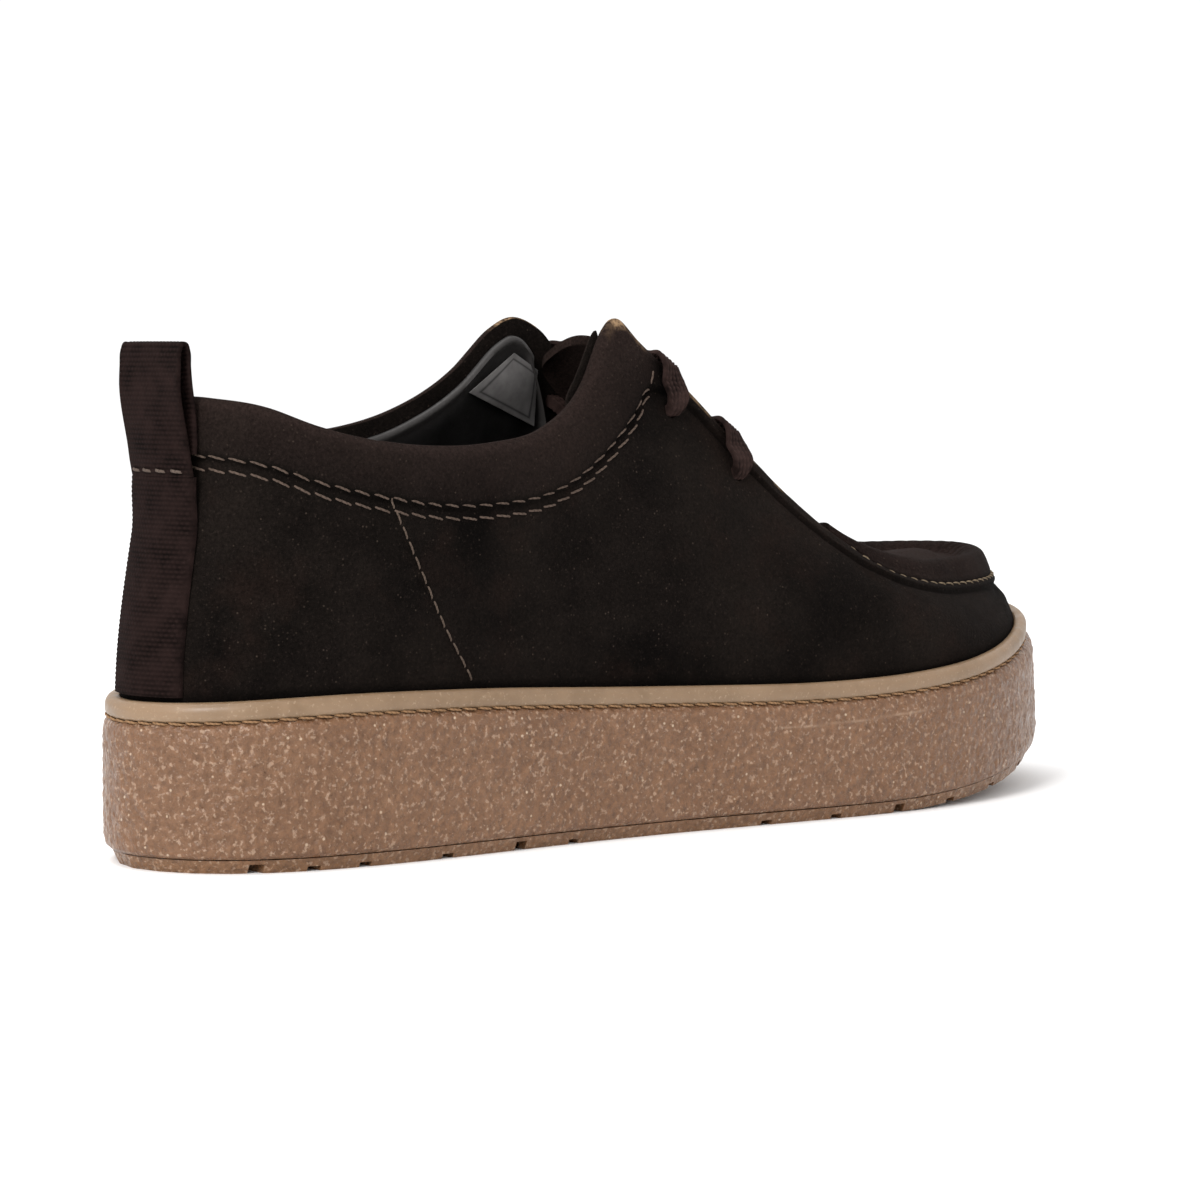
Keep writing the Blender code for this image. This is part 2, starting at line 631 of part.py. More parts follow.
def upper_rings(turns):
    """Work out the rings of the upper's wall, up its outer face, over the edge and down inside."""
    foot, outward = wall_base(turns)
    floor = foot.copy()
    floor[:, 2] = cup_floor(foot[:, 1]) + CLEARANCE
    band = BALL_WIDTH * section("band", turns)
    step = BALL_WIDTH * section("step", turns)
    band_rise = rise_below_edge(turns, band)
    under_rise = rise_below_edge(turns, band + UPPER_STEP_RAMP)
    middle_rise = rise_below_edge(turns, band * 0.45)
    near_rise = rise_below_edge(turns, UPPER_EDGE_ROUND)
    outer = [floor, foot]
    inner = [floor - outward * UPPER_WALL, foot - outward * UPPER_WALL]
    pad_share = np.clip((step / BALL_WIDTH - SEAM_STEP) / (PAD_STEP - SEAM_STEP), 0.0, 1.0)
    for share in WALL_STEPS:
        rise = share * under_rise
        normal = skin_normal(turns, rise)
        outer.append(skin(turns, rise))
        inner.append(skin(turns, rise) - normal * UPPER_WALL)
    pad_rows = (
        (under_rise, 0.0, 0.0),
        (band_rise, 0.9, 0.5),
        (middle_rise, 1.0, 1.0),
        (near_rise, 0.8, 0.8),
    )
    for rise, bulge, pad in pad_rows:
        normal = skin_normal(turns, rise)
        outer.append(skin(turns, rise) + normal * (step * bulge)[:, None])
        inset = UPPER_WALL + COLLAR_INNER_PAD * pad_share * pad
        inner.append(skin(turns, rise) - normal * inset[:, None])
    edge = skin(turns, 1.0)
    normal = skin_normal(turns, 1.0)
    outer.append(edge + normal * (step * 0.3)[:, None])
    inner.append(edge - normal * (UPPER_WALL * 0.75 + COLLAR_INNER_PAD * pad_share * 0.3)[:, None])
    return outer + inner[::-1]


def make_upper():
    """Make the hollow upper as one wall, open at the throat and underneath, with its lace holes."""
    points, faces = closed_loft(upper_rings(all_turns()), wrap=True)
    upper = add_solid("upper", points, faces)
    work = bmesh.new()
    for turn in lace_turns():
        centre, normal = hole_frame(turn)
        rod_points = circle_points(centre, normal, HOLE_DIAMETER / 2)
        low = [work.verts.new(point - normal * HOLE_REACH) for point in rod_points]
        high = [work.verts.new(point + normal * HOLE_REACH) for point in rod_points]
        for i in range(len(low)):
            j = (i + 1) % len(low)
            work.faces.new((low[i], low[j], high[j], high[i]))
        work.faces.new(low[::-1])
        work.faces.new(high)
    bmesh.ops.recalc_face_normals(work, faces=work.faces)
    mesh = bpy.data.meshes.new("lace_holes")
    work.to_mesh(mesh)
    work.free()
    cutter = bpy.data.objects.new("lace_holes", mesh)
    bpy.context.scene.collection.objects.link(cutter)
    cut(upper, cutter)
    return upper


def lace_turns():
    """Return the turns of the lace holes on both sides."""
    return list(HOLE_TURNS) + [2.0 - turn for turn in HOLE_TURNS]


def hole_frame(turn):
    """Return the centre and outward direction of one lace hole."""
    place = np.array([turn])
    rise = rise_below_edge(place, HOLE_DEPTH)
    return skin(place, rise)[0], skin_normal(place, rise)[0]


def circle_points(centre, axis, radius, count=12):
    """Return points of a circle about an axis."""
    side = np.cross(axis, (0.0, 0.0, 1.0))
    side /= np.linalg.norm(side)
    other = np.cross(axis, side)
    angles = np.arange(count) * 2 * math.pi / count
    return [centre + radius * (math.cos(a) * side + math.sin(a) * other) for a in angles]


def edge_inward(turns):
    """Return directions in plan that point from the toe seam towards the middle of the apron."""
    along = top_edge(turns + TURN_STEP) - top_edge(turns - TURN_STEP)
    inward = np.column_stack((along[:, 1], -along[:, 0], np.zeros(len(along))))
    inward /= np.linalg.norm(inward, axis=1)[:, None]
    edge = top_edge(turns)
    wrong = np.sum((edge.mean(axis=0) - edge) * inward, axis=1) < 0
    inward[wrong] *= -1
    return inward


def bridge(name, turn):
    """Read the crown or the ridge share between the facings, the same on both sides."""
    side_turn = np.where(turn > 1.0, 2.0 - turn, turn)
    return read_table(BRIDGE_COLUMNS, BRIDGE_ROWS, name, side_turn)


def apron_turns():
    """Return the turns of the apron's seam, from its lateral rear corner round the toe."""
    side = np.linspace(APRON_START, 1.0, 17)
    return np.concatenate((side, 2.0 - side[-2::-1]))


def apron_layer(turns, lower):
    """Return the rings of the apron's top or under face, from its edge on the seam to its dished middle."""
    edge = top_edge(turns)
    inward = edge_inward(turns)
    ridge = bridge("ridge", turns)
    rings = []
    insets = BALL_WIDTH * column_of(RIDGE_COLUMNS, RIDGE_ROWS, "inset")
    rises = APRON_RIDGE * column_of(RIDGE_COLUMNS, RIDGE_ROWS, "rise")
    unders = lower * column_of(RIDGE_COLUMNS, RIDGE_ROWS, "under")
    for row in range(len(RIDGE_ROWS)):
        depth = min(lower, APRON_EDGE) if row == 0 else lower
        ring_points = edge + inward * (insets[row] + unders[row])
        ring_points[:, 2] += APRON_SEAM_GAP + APRON_EDGE + rises[row] * ridge - depth
        rings.append(ring_points)
    return rings


def make_apron():
    """Make the moccasin apron: a dished plug with a raised gathered rim, inside the toe seam."""
    turns = apron_turns()
    count = len(turns)
    top = apron_layer(turns, 0.0)
    under = apron_layer(turns, APRON_THICKNESS)
    points = []
    faces = []
    layers = []
    for rings in (top, under):
        first = len(points)
        points.extend(np.vstack(rings))
        for row in range(len(rings) - 1):
            here = first + row * count
            for i in range(count - 1):
                faces.append((here + i, here + i + 1, here + count + i + 1, here + count + i))
        last = first + (len(rings) - 1) * count
        middle = apron_middle(points, faces, last, turns, lower=APRON_THICKNESS if rings is under else 0.0)
        rear = [first + row * count for row in range(len(rings))]
        rear += middle
        rear += [first + row * count + count - 1 for row in range(len(rings) - 1, -1, -1)]
        layers.append((list(range(first, first + count)), rear))
    (top_seam, top_rear), (under_seam, under_rear) = layers
    for one, two in ((top_seam, under_seam), (top_rear, under_rear)):
        for i in range(len(one) - 1):
            faces.append((one[i], one[i + 1], two[i + 1], two[i]))
    return add_solid("apron", points, faces)


def apron_middle(points, faces, first, turns, lower, columns=4):
    """Close the dished middle of the apron with rows across it, and return the rear row's inner points."""
    count = len(turns)
    half = count // 2
    crown = BALL_WIDTH * bridge("crown", turns) + APRON_THICKNESS + CLEARANCE - lower
    edge = top_edge(turns)
    grid = []
    for row in range(half + 1):
        a = first + row
        b = first + count - 1 - row
        line = [a]
        if a != b:
            for column in range(1, columns):
                share = column / columns
                point = points[a] * (1 - share) + points[b] * share
                side_z = point[2]
                middle_z = (edge[row, 2] + edge[count - 1 - row, 2]) / 2 + crown[row]
                weight = 4 * share * (1 - share)
                fade = min(1.0, (half - row) / 4)
                point = np.array((point[0], point[1], side_z + (middle_z - side_z) * weight * fade))
                points.append(point)
                line.append(len(points) - 1)
            line.append(b)
        grid.append(line)
    for row in range(half):
        one = grid[row]
        two = grid[row + 1]
        if len(two) == 1:
            faces.extend((one[i], one[i + 1], two[0]) for i in range(len(one) - 1))
        else:
            faces.extend((one[i], one[i + 1], two[i + 1], two[i]) for i in range(len(one) - 1))
    return grid[0][1:-1]


def make_tongue():
    """Make the tongue, which runs from under the apron up between the facings to the flap tips."""
    turns = np.linspace(TONGUE_FRONT, TONGUE_TOP, 20)
    lateral = top_edge(turns)
    medial = top_edge(2.0 - turns)
    crown = BALL_WIDTH * bridge("crown", turns)
    narrow = np.clip((turns - TONGUE_NARROW_START) / TONGUE_NARROW_SPAN, 0.0, 1.0)
    columns = np.linspace(-1.0, 1.0, 9)
    top = []
    under = []
    for row in range(len(turns)):
        middle = (lateral[row] + medial[row]) / 2
        half = (medial[row, 0] - lateral[row, 0]) / 2 - TONGUE_SIDE_GAP
        half *= 1.0 - TONGUE_HIDDEN_NARROWING * narrow[row]
        half *= TONGUE_CORNER[max(0, row + len(TONGUE_CORNER) - len(turns))]
        for column in columns:
            z = middle[2] + crown[row] * (1 - column ** 2) - TONGUE_SIDE_DROP * column ** 2
            top.append(np.array((middle[0] + half * column, middle[1], z)))
            under.append(np.array((middle[0] + half * column, middle[1], z - TONGUE_THICKNESS)))
    width = len(columns)
    total = len(top)
    faces = []
    for row in range(len(turns) - 1):
        for i in range(width - 1):
            a = row * width + i
            faces.append((a, a + 1, a + 1 + width, a + width))
            faces.append((total + a, total + a + width, total + a + 1 + width, total + a + 1))
    rim = list(range(width))
    rim += [row * width + width - 1 for row in range(1, len(turns))]
    rim += [total - 2 - i for i in range(width - 1)]
    rim += [row * width for row in range(len(turns) - 2, 0, -1)]
    for i in range(len(rim)):
        j = (i + 1) % len(rim)
        faces.append((rim[i], rim[j], rim[j] + total, rim[i] + total))
    return add_solid("tongue", top + under, faces)


def ribbon(name, path, side, thickness_way, widths, thicknesses):
    """Sweep a flat band with rounded edges along a path, given its width and thickness directions."""
    rings = []
    profile = ((-0.5, 0.0), (-0.38, -0.5), (0.38, -0.5), (0.5, 0.0), (0.38, 0.5), (-0.38, 0.5))
    for i in range(len(path)):
        rings.append([
            path[i] + side[i] * widths[i] * across + thickness_way[i] * thicknesses[i] * deep
            for across, deep in profile
        ])
    points, faces = closed_loft([np.array(one) for one in rings], wrap=False)
    count = len(profile)
    last = (len(rings) - 1) * count
    faces.append(tuple(range(count - 1, -1, -1)))
    faces.append(tuple(last + i for i in range(count)))
    return add_solid(name, points, faces)


def heel_point(z, offset, x):
    """Return a point off the back of the heel at a height, following the heel's curve beside the middle."""
    turn_guess = np.linspace(-0.16, 0.16, 65)
    rises = np.linspace(0.0, 1.0, 61)
    best = np.array([np.interp(z, skin(np.full(61, turn), rises)[:, 2], rises) for turn in turn_guess])
    points = skin(turn_guess, best)
    order = np.argsort(points[:, 0])
    y = np.interp(x, points[order, 0], points[order, 1])
    return np.array((x, y + offset, z))


def make_backstrap():
    """Make the webbing that covers the back seam, from the rim band up to the pinch under the loop."""
    base = wall_base(np.array([0.0]))[0][0, 2] + STRAP_FOOT_GAP
    top = BACK_HEIGHT - PINCH_DROP
    heights = np.linspace(base, top, 9)
    columns = np.linspace(-0.5, 0.5, 7) * WEBBING_WIDTH
    bulge = BALL_WIDTH * section("step", np.array([0.0]))[0]
    pad_foot = BACK_HEIGHT - BALL_WIDTH * section("band", np.array([0.0]))[0]
    points = []
    faces = []
    for layer in (WEBBING_GAP, WEBBING_GAP + WEBBING_THICKNESS):
        for z in heights:
            lift = bulge * np.clip((z - pad_foot) / (2 * WEBBING_THICKNESS) + 4 / 3, 0.0, 1.0)
            points.extend(heel_point(z, layer + lift, x) for x in columns)
    width = len(columns)
    total = width * len(heights)
    for row in range(len(heights) - 1):
        for i in range(width - 1):
            a = row * width + i
            faces.append((a, a + 1, a + 1 + width, a + width))
            faces.append((total + a, total + a + width, total + a + 1 + width, total + a + 1))
    rim = list(range(width))
    rim += [row * width + width - 1 for row in range(1, len(heights))]
    rim += [total - 2 - i for i in range(width - 1)]
    rim += [row * width for row in range(len(heights) - 2, 0, -1)]
    for i in range(len(rim)):
        j = (i + 1) % len(rim)
        faces.append((rim[i], rim[j], rim[j] + total, rim[i] + total))
    return add_solid("backstrap", points, faces)


def make_pull_loop():
    """Make the webbing loop that stands above the collar at the back of the heel."""
    start = BACK_HEIGHT - PINCH_DROP + CLEARANCE
    bulge = BALL_WIDTH * section("step", np.array([0.0]))[0]
    seat = heel_point(BACK_HEIGHT - 0.001, bulge + CLEARANCE + WEBBING_THICKNESS / 2, 0.0)[1]
    low_seat = heel_point(start, bulge + WEBBING_GAP + WEBBING_THICKNESS / 2, 0.0)[1]
    middle_seat = 0.6 * low_seat + 0.4 * seat
    top = BACK_HEIGHT + LOOP_RISE
    closed = WEBBING_THICKNESS + CLEARANCE
    foot = start + WEBBING_THICKNESS * 0.5
    middle = start + 0.35 * PINCH_DROP
    route = np.array((
        (low_seat + 0.12 * LOOP_BOW, foot),
        (middle_seat + 0.12 * LOOP_BOW, middle),
        (seat + 0.15 * LOOP_BOW, BACK_HEIGHT),
        (seat + 0.30 * LOOP_BOW, top - 0.45 * LOOP_RISE),
        (seat + 0.35 * LOOP_BOW, top - 0.17 * LOOP_RISE),
        (seat + 0.53 * LOOP_BOW, top - 0.06 * LOOP_RISE),
        (seat + 0.83 * LOOP_BOW, top - 0.05 * LOOP_RISE),
        (seat + 1.00 * LOOP_BOW, top - 0.14 * LOOP_RISE),
        (seat + 1.12 * LOOP_BOW, top - 0.45 * LOOP_RISE),
        (seat + 1.18 * LOOP_BOW, BACK_HEIGHT),
        (middle_seat + LOOP_BOW, middle),
        (low_seat + closed + 0.24 * LOOP_BOW, foot),
    ))
    knots = np.concatenate(([0.0], np.cumsum(np.linalg.norm(np.diff(route, axis=0), axis=1))))
    fine = hermite(knots, route, np.linspace(0.0, knots[-1], 34))
    path = np.column_stack((np.zeros(len(fine)), fine))
    along = np.gradient(path, axis=0)
    along /= np.linalg.norm(along, axis=1)[:, None]
    side = np.tile((1.0, 0.0, 0.0), (len(path), 1))
    out = np.cross(side, along)
    count = len(path)
    return ribbon("pull_loop", path, side, out, [WEBBING_WIDTH] * count, [WEBBING_THICKNESS] * count)


def lace_leg(turn, outward_bound):
    """Return the lace's points, face directions and flatness from inside one hole to past the edge."""
    centre, normal = hole_frame(turn)
    place = np.array([turn])
    edge = top_edge(place)[0]
    edge_normal = skin_normal(place, 1.0)[0]
    up_wall = (edge - centre) / np.linalg.norm(edge - centre)
    lift = LACE_THICKNESS / 2 + BALL_WIDTH * section("step", place)[0] + 2 * CLEARANCE
    bar_lift = LACE_THICKNESS / 2 + 3 * CLEARANCE
    inward = np.array((1.0 if turn < 1.0 else -1.0, 0.0, 0.0))
    high_rise = rise_below_edge(place, HOLE_DEPTH * 0.40)
    low_rise = rise_below_edge(place, HOLE_DEPTH * 0.80)
    leg = [
        (centre - normal * (UPPER_WALL + LACE_INSIDE_REACH), -up_wall, 0.0),
        (centre - normal * UPPER_WALL * 0.5, -up_wall, 0.0),
        (centre + normal * UPPER_WALL * 0.5, -up_wall, 0.10),
        (skin(place, low_rise)[0] + normal * (lift + 3 * CLEARANCE), normal, 0.60),
        (skin(place, high_rise)[0] + skin_normal(place, high_rise)[0] * (lift + CLEARANCE), normal, 1.0),
        (edge + edge_normal * lift + up_wall * CLEARANCE, edge_normal + THROAT_NORMAL, 1.0),
        (edge + inward * LACE_BAR_START + THROAT_NORMAL * bar_lift, THROAT_NORMAL, 1.0),
    ]
    return leg if outward_bound else leg[::-1]


def make_lace():
    """Make the lace: two straight bars over the throat, joined by its hidden run inside."""
    high = HOLE_TURNS[0]
    low = HOLE_TURNS[1]
    legs = lace_leg(low, True) + lace_leg(2.0 - low, False)
    legs += lace_leg(2.0 - high, True) + lace_leg(high, False)
    route = np.array([point for point, _, _ in legs])
    faces_out = np.array([face for _, face, _ in legs])
    flatness = np.array([value for _, _, value in legs])
    knots = np.concatenate(([0.0], np.cumsum(np.linalg.norm(np.diff(route, axis=0), axis=1))))
    steps = []
    for i in range(len(knots) - 1):
        steps.extend(np.linspace(knots[i], knots[i + 1], 3, endpoint=False))
    steps.append(knots[-1])
    steps = np.array(steps)
    path = hermite(knots, route, steps)
    flat_share = np.clip(np.interp(steps, knots, flatness), 0.0, 1.0)
    along = np.gradient(path, axis=0)
    along /= np.linalg.norm(along, axis=1)[:, None]
    facing = np.column_stack([np.interp(steps, knots, faces_out[:, axis]) for axis in range(3)])
    across = np.cross(along, facing)
    across /= np.linalg.norm(across, axis=1)[:, None]
    thick_way = np.cross(across, along)
    widths = LACE_HOLE_WIDTH + (LACE_WIDTH - LACE_HOLE_WIDTH) * flat_share
    thick = LACE_HOLE_THICKNESS + (LACE_THICKNESS - LACE_HOLE_THICKNESS) * flat_share
    return ribbon("lace", path, across, thick_way, widths, thick)


def main():
    """Build the shoe."""
    clear_scene()
    make_outsole()
    make_midsole()
    make_rim_band()
    make_insole()
    make_upper()
    make_apron()
    make_tongue()
    make_backstrap()
    make_pull_loop()
    make_lace()


if __name__ == "__main__":
    main()
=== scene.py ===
"""The looks of a right-foot moccasin lace-up shoe in dark brown suede on a crumbed crepe cup sole.

The heel points along +Y, the toe along -Y, the outer (lateral) side along -X, and the floor is z = 0.
Each place on the shoe is given by its turn, which runs from 0 at the back of the heel along the lateral
side to 1 at the toe and back along the medial side to 2, and by its rise up the upper's wall.
Lengths are metres.
"""
from __future__ import annotations

import logging
import math
import sys
from dataclasses import dataclass, field
from enum import Enum
from typing import Callable, Iterable, Sequence

import bmesh
import bpy
import numpy as np
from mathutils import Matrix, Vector, noise

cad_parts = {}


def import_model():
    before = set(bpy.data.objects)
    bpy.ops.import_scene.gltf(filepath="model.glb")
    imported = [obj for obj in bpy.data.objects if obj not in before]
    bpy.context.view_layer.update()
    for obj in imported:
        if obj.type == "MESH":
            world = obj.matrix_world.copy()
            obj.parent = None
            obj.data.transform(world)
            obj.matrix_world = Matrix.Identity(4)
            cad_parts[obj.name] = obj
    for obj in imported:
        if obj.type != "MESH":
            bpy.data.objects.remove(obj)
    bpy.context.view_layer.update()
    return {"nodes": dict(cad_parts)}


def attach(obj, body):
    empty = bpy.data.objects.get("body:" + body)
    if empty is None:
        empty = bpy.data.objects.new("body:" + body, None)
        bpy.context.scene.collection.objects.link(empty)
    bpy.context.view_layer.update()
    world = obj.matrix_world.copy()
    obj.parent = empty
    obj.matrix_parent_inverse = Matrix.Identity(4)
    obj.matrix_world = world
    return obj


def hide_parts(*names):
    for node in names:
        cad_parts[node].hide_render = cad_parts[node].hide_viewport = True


LOG = logging.getLogger("shoe")
Array = np.ndarray
Color = tuple[float, float, float]
Place = tuple[float, float, float]
Window = tuple[float, float, float, float]
Socket = bpy.types.NodeSocket

# Angle in degrees above which an edge of a mesh stays sharp.
SHARP_ANGLE = 60.0

# Outline of the sole: place along the shoe from the heel, and reach to both sides over the ball width.
OUTLINE_COLUMNS = ("share", "lateral", "medial")
OUTLINE_ROWS = (
    (0.000, 0.000, 0.000),
    (0.012, 0.131, 0.131),
    (0.040, 0.234, 0.234),
    (0.090, 0.318, 0.313),
    (0.160, 0.364, 0.355),
    (0.250, 0.383, 0.369),
    (0.350, 0.392, 0.364),
    (0.450, 0.416, 0.369),
    (0.550, 0.458, 0.402),
    (0.650, 0.500, 0.453),
    (0.720, 0.514, 0.486),
    (0.800, 0.491, 0.495),
    (0.870, 0.421, 0.472),
    (0.930, 0.309, 0.402),
    (0.970, 0.187, 0.309),
    (0.992, 0.066, 0.206),
    (1.000, -0.074, 0.074),
)

# Height of the stitched groove round the cup, as a share of the back height, along the shoe.
GROOVE_COLUMNS = ("share", "height")
GROOVE_ROWS = (
    (0.00, 0.314),
    (0.12, 0.328),
    (0.25, 0.322),
    (0.40, 0.301),
    (0.50, 0.289),
    (0.60, 0.281),
    (0.70, 0.287),
    (0.80, 0.309),
    (0.87, 0.338),
    (0.93, 0.372),
    (0.97, 0.394),
    (1.00, 0.412),
)

# Sections of the upper. turn: place round the shoe, counted from the heel on each side.
# share: top edge along the shoe length. half: top edge beside the centre line, over the ball width.
# height: top edge over the instep height. low: outward swell of the foot of the wall, flare: outward
# reach of its upper handle, both over the ball width. drop: the handle's fall, over the wall's rise.
# band: depth of the collar pad or seam lip below the edge, step: its thickness, both over the ball width.
SECTION_COLUMNS = ("turn", "share", "half", "height", "low", "flare", "drop", "band", "step")
LATERAL_ROWS = (
    (0.00, 0.048, 0.000, 0.857, -0.010, -0.004, 0.33, 0.122, 0.012),
    (0.06, 0.054, 0.126, 0.854, -0.004, 0.000, 0.33, 0.124, 0.013),
    (0.12, 0.084, 0.236, 0.836, 0.010, 0.008, 0.33, 0.124, 0.014),
    (0.16, 0.118, 0.289, 0.803, 0.026, 0.012, 0.33, 0.122, 0.015),
    (0.20, 0.163, 0.311, 0.778, 0.032, 0.014, 0.33, 0.122, 0.015),
    (0.25, 0.222, 0.323, 0.764, 0.036, 0.016, 0.33, 0.130, 0.015),
    (0.30, 0.280, 0.321, 0.768, 0.038, 0.018, 0.33, 0.137, 0.015),
    (0.35, 0.337, 0.303, 0.793, 0.040, 0.022, 0.33, 0.148, 0.015),
    (0.40, 0.392, 0.264, 0.876, 0.042, 0.030, 0.33, 0.184, 0.015),
    (0.43, 0.424, 0.233, 0.982, 0.042, 0.040, 0.32, 0.246, 0.014),
    (0.45, 0.440, 0.223, 1.000, 0.042, 0.046, 0.32, 0.224, 0.013),
    (0.47, 0.462, 0.223, 0.959, 0.042, 0.052, 0.31, 0.118, 0.011),
    (0.50, 0.503, 0.231, 0.884, 0.042, 0.060, 0.30, 0.048, 0.009),
    (0.55, 0.562, 0.250, 0.760, 0.038, 0.076, 0.28, 0.046, 0.009),
    (0.60, 0.617, 0.283, 0.642, 0.034, 0.088, 0.25, 0.048, 0.009),
    (0.65, 0.665, 0.325, 0.552, 0.030, 0.090, 0.22, 0.050, 0.009),
    (0.70, 0.712, 0.345, 0.492, 0.028, 0.086, 0.20, 0.048, 0.009),
    (0.75, 0.765, 0.335, 0.464, 0.022, 0.066, 0.19, 0.046, 0.009),
    (0.80, 0.817, 0.290, 0.457, 0.015, 0.046, 0.18, 0.044, 0.009),
    (0.84, 0.858, 0.244, 0.458, 0.006, 0.030, 0.16, 0.044, 0.009),
    (0.88, 0.894, 0.186, 0.461, -0.004, 0.016, 0.14, 0.044, 0.009),
    (0.92, 0.924, 0.114, 0.465, -0.006, 0.011, 0.12, 0.044, 0.009),
    (0.96, 0.945, 0.030, 0.468, -0.006, 0.009, 0.10, 0.044, 0.009),
    (1.00, 0.953, -0.056, 0.470, -0.006, 0.009, 0.10, 0.044, 0.009),
)
MEDIAL_ROWS = (
    (0.06, 0.054, 0.126, 0.854, -0.004, 0.000, 0.33, 0.124, 0.013),
    (0.12, 0.084, 0.232, 0.839, 0.010, 0.008, 0.33, 0.124, 0.014),
    (0.16, 0.118, 0.282, 0.811, 0.026, 0.012, 0.33, 0.122, 0.015),
    (0.20, 0.163, 0.303, 0.789, 0.032, 0.014, 0.33, 0.122, 0.015),
    (0.25, 0.222, 0.311, 0.779, 0.036, 0.016, 0.33, 0.130, 0.015),
    (0.30, 0.280, 0.307, 0.787, 0.038, 0.018, 0.33, 0.137, 0.015),
    (0.35, 0.337, 0.292, 0.822, 0.040, 0.022, 0.33, 0.148, 0.015),
    (0.40, 0.392, 0.258, 0.900, 0.042, 0.030, 0.33, 0.200, 0.015),
    (0.43, 0.428, 0.234, 0.984, 0.042, 0.040, 0.32, 0.246, 0.014),
    (0.45, 0.450, 0.222, 1.006, 0.042, 0.046, 0.32, 0.224, 0.013),
    (0.47, 0.477, 0.219, 0.982, 0.042, 0.052, 0.31, 0.118, 0.011),
    (0.50, 0.510, 0.225, 0.898, 0.042, 0.060, 0.30, 0.048, 0.009),
    (0.55, 0.563, 0.238, 0.770, 0.038, 0.072, 0.28, 0.046, 0.009),
    (0.60, 0.617, 0.261, 0.655, 0.034, 0.080, 0.25, 0.048, 0.009),
    (0.65, 0.665, 0.290, 0.562, 0.030, 0.084, 0.22, 0.050, 0.009),
    (0.70, 0.712, 0.309, 0.502, 0.028, 0.084, 0.20, 0.048, 0.009),
    (0.75, 0.765, 0.321, 0.474, 0.024, 0.070, 0.19, 0.046, 0.009),
    (0.80, 0.817, 0.317, 0.467, 0.019, 0.056, 0.18, 0.044, 0.009),
    (0.84, 0.858, 0.302, 0.467, 0.011, 0.044, 0.16, 0.044, 0.009),
    (0.88, 0.894, 0.269, 0.468, 0.002, 0.030, 0.14, 0.044, 0.009),
    (0.92, 0.924, 0.217, 0.469, -0.002, 0.019, 0.12, 0.044, 0.009),
    (0.96, 0.945, 0.142, 0.470, -0.005, 0.012, 0.10, 0.044, 0.009),
)

# Crown of the bridge between the facings: height over the edges, over the ball width, and the share
# of the full ridge that the apron has there.
BRIDGE_COLUMNS = ("turn", "crown", "ridge")
BRIDGE_ROWS = (
    (0.40, -0.010, 0.20),
    (0.47, -0.010, 0.20),
    (0.55, -0.008, 0.20),
    (0.60, -0.004, 0.20),
    (0.65, 0.004, 0.34),
    (0.70, 0.018, 0.86),
    (0.78, 0.022, 1.00),
    (0.90, 0.022, 1.00),
    (1.00, 0.020, 1.00),
)

# Lace holes: turn of each on the lateral side, from the flap tip down, and depth below the top edge.
HOLE_TURNS = (0.490, 0.543)
HOLE_DEPTH = 0.0115


class Side(Enum):
    """The two sides of the shoe."""

    LATERAL = 1
    MEDIAL = -1

    def turn(self, turn: Array | float) -> Array | float:
        """Return the turn round the whole shoe of a turn counted from the heel on this side."""
        return turn if self is Side.LATERAL else 2.0 - turn


class Slot(Enum):
    """Names of material slots. Each piece is built with one, but nothing here reads it."""

    MIDSOLE = "midsole"
    RIM_BAND = "rim_band"
    INSOLE = "insole"
    UPPER = "upper"
    APRON = "apron"
    TONGUE = "tongue"
    BACKSTRAP = "backstrap"
    PULL_LOOP = "pull_loop"
    LACE = "lace"


def hermite(knots: Array, values: Array, at: Array) -> Array:
    """Read a smooth curve through the rows of a table.

    Args:
        knots: Rising places of the rows.
        values: One value or point a row.
        at: Places to read.

    Returns:
        The values or points at those places.
    """
    slopes = np.gradient(values, knots, axis=0)
    index = np.clip(np.searchsorted(knots, at, side="right") - 1, 0, len(knots) - 2)
    step = knots[index + 1] - knots[index]
    u = (at - knots[index]) / step
    rise = 3 * u ** 2 - 2 * u ** 3
    start = u ** 3 - 2 * u ** 2 + u
    end = u ** 3 - u ** 2
    if values.ndim > 1:
        step, rise, start, end = (part[:, None] for part in (step, rise, start, end))
    ends = (1 - rise) * values[index] + rise * values[index + 1]
    return ends + step * (start * slopes[index] + end * slopes[index + 1])


def around(knots: Array, values: Array, period: float, at: Array) -> Array:
    """Read a smooth closed curve.

    Args:
        knots: Rising places of the rows within one period.
        values: One value or point a row.
        period: Length of the closed run.
        at: Places to read.

    Returns:
        The values or points at those places.
    """
    wraps = 4
    long_knots = np.concatenate((knots[-wraps:] - period, knots, knots[:wraps] + period))
    long_values = np.concatenate((values[-wraps:], values, values[:wraps]))
    return hermite(long_knots, long_values, np.mod(np.asarray(at, float), period))


def column_of(columns: Sequence[str], rows: Sequence[Sequence[float]], name: str) -> Array:
    """Return one named column of a table."""
    return np.array(rows)[:, columns.index(name)]


def read_table(columns: Sequence[str], rows: Sequence[Sequence[float]], name: str, at: Array) -> Array:
    """Read one named column of an open table, whose first column holds the places.

    Args:
        columns: Names of the table's columns.
        rows: The table.
        name: Column to read.
        at: Places to read.

    Returns:
        The column's values there.
    """
    knots = column_of(columns, rows, columns[0])
    return hermite(knots, column_of(columns, rows, name), np.asarray(at, float))


def smooth(value: Array | float, low: float, high: float) -> Array:
    """Ease a value from 0 at low to 1 at high."""
    share = np.clip((np.asarray(value, float) - low) / (high - low), 0.0, 1.0)
    return share * share * (3 - 2 * share)


def window(value: Array | float, rise_start: float, rise_end: float, fall_start: float,
           fall_end: float) -> Array:
    """Ease a value from 0 to 1 over one span and back to 0 over a later one."""
    return smooth(value, rise_start, rise_end) * (1.0 - smooth(value, fall_start, fall_end))


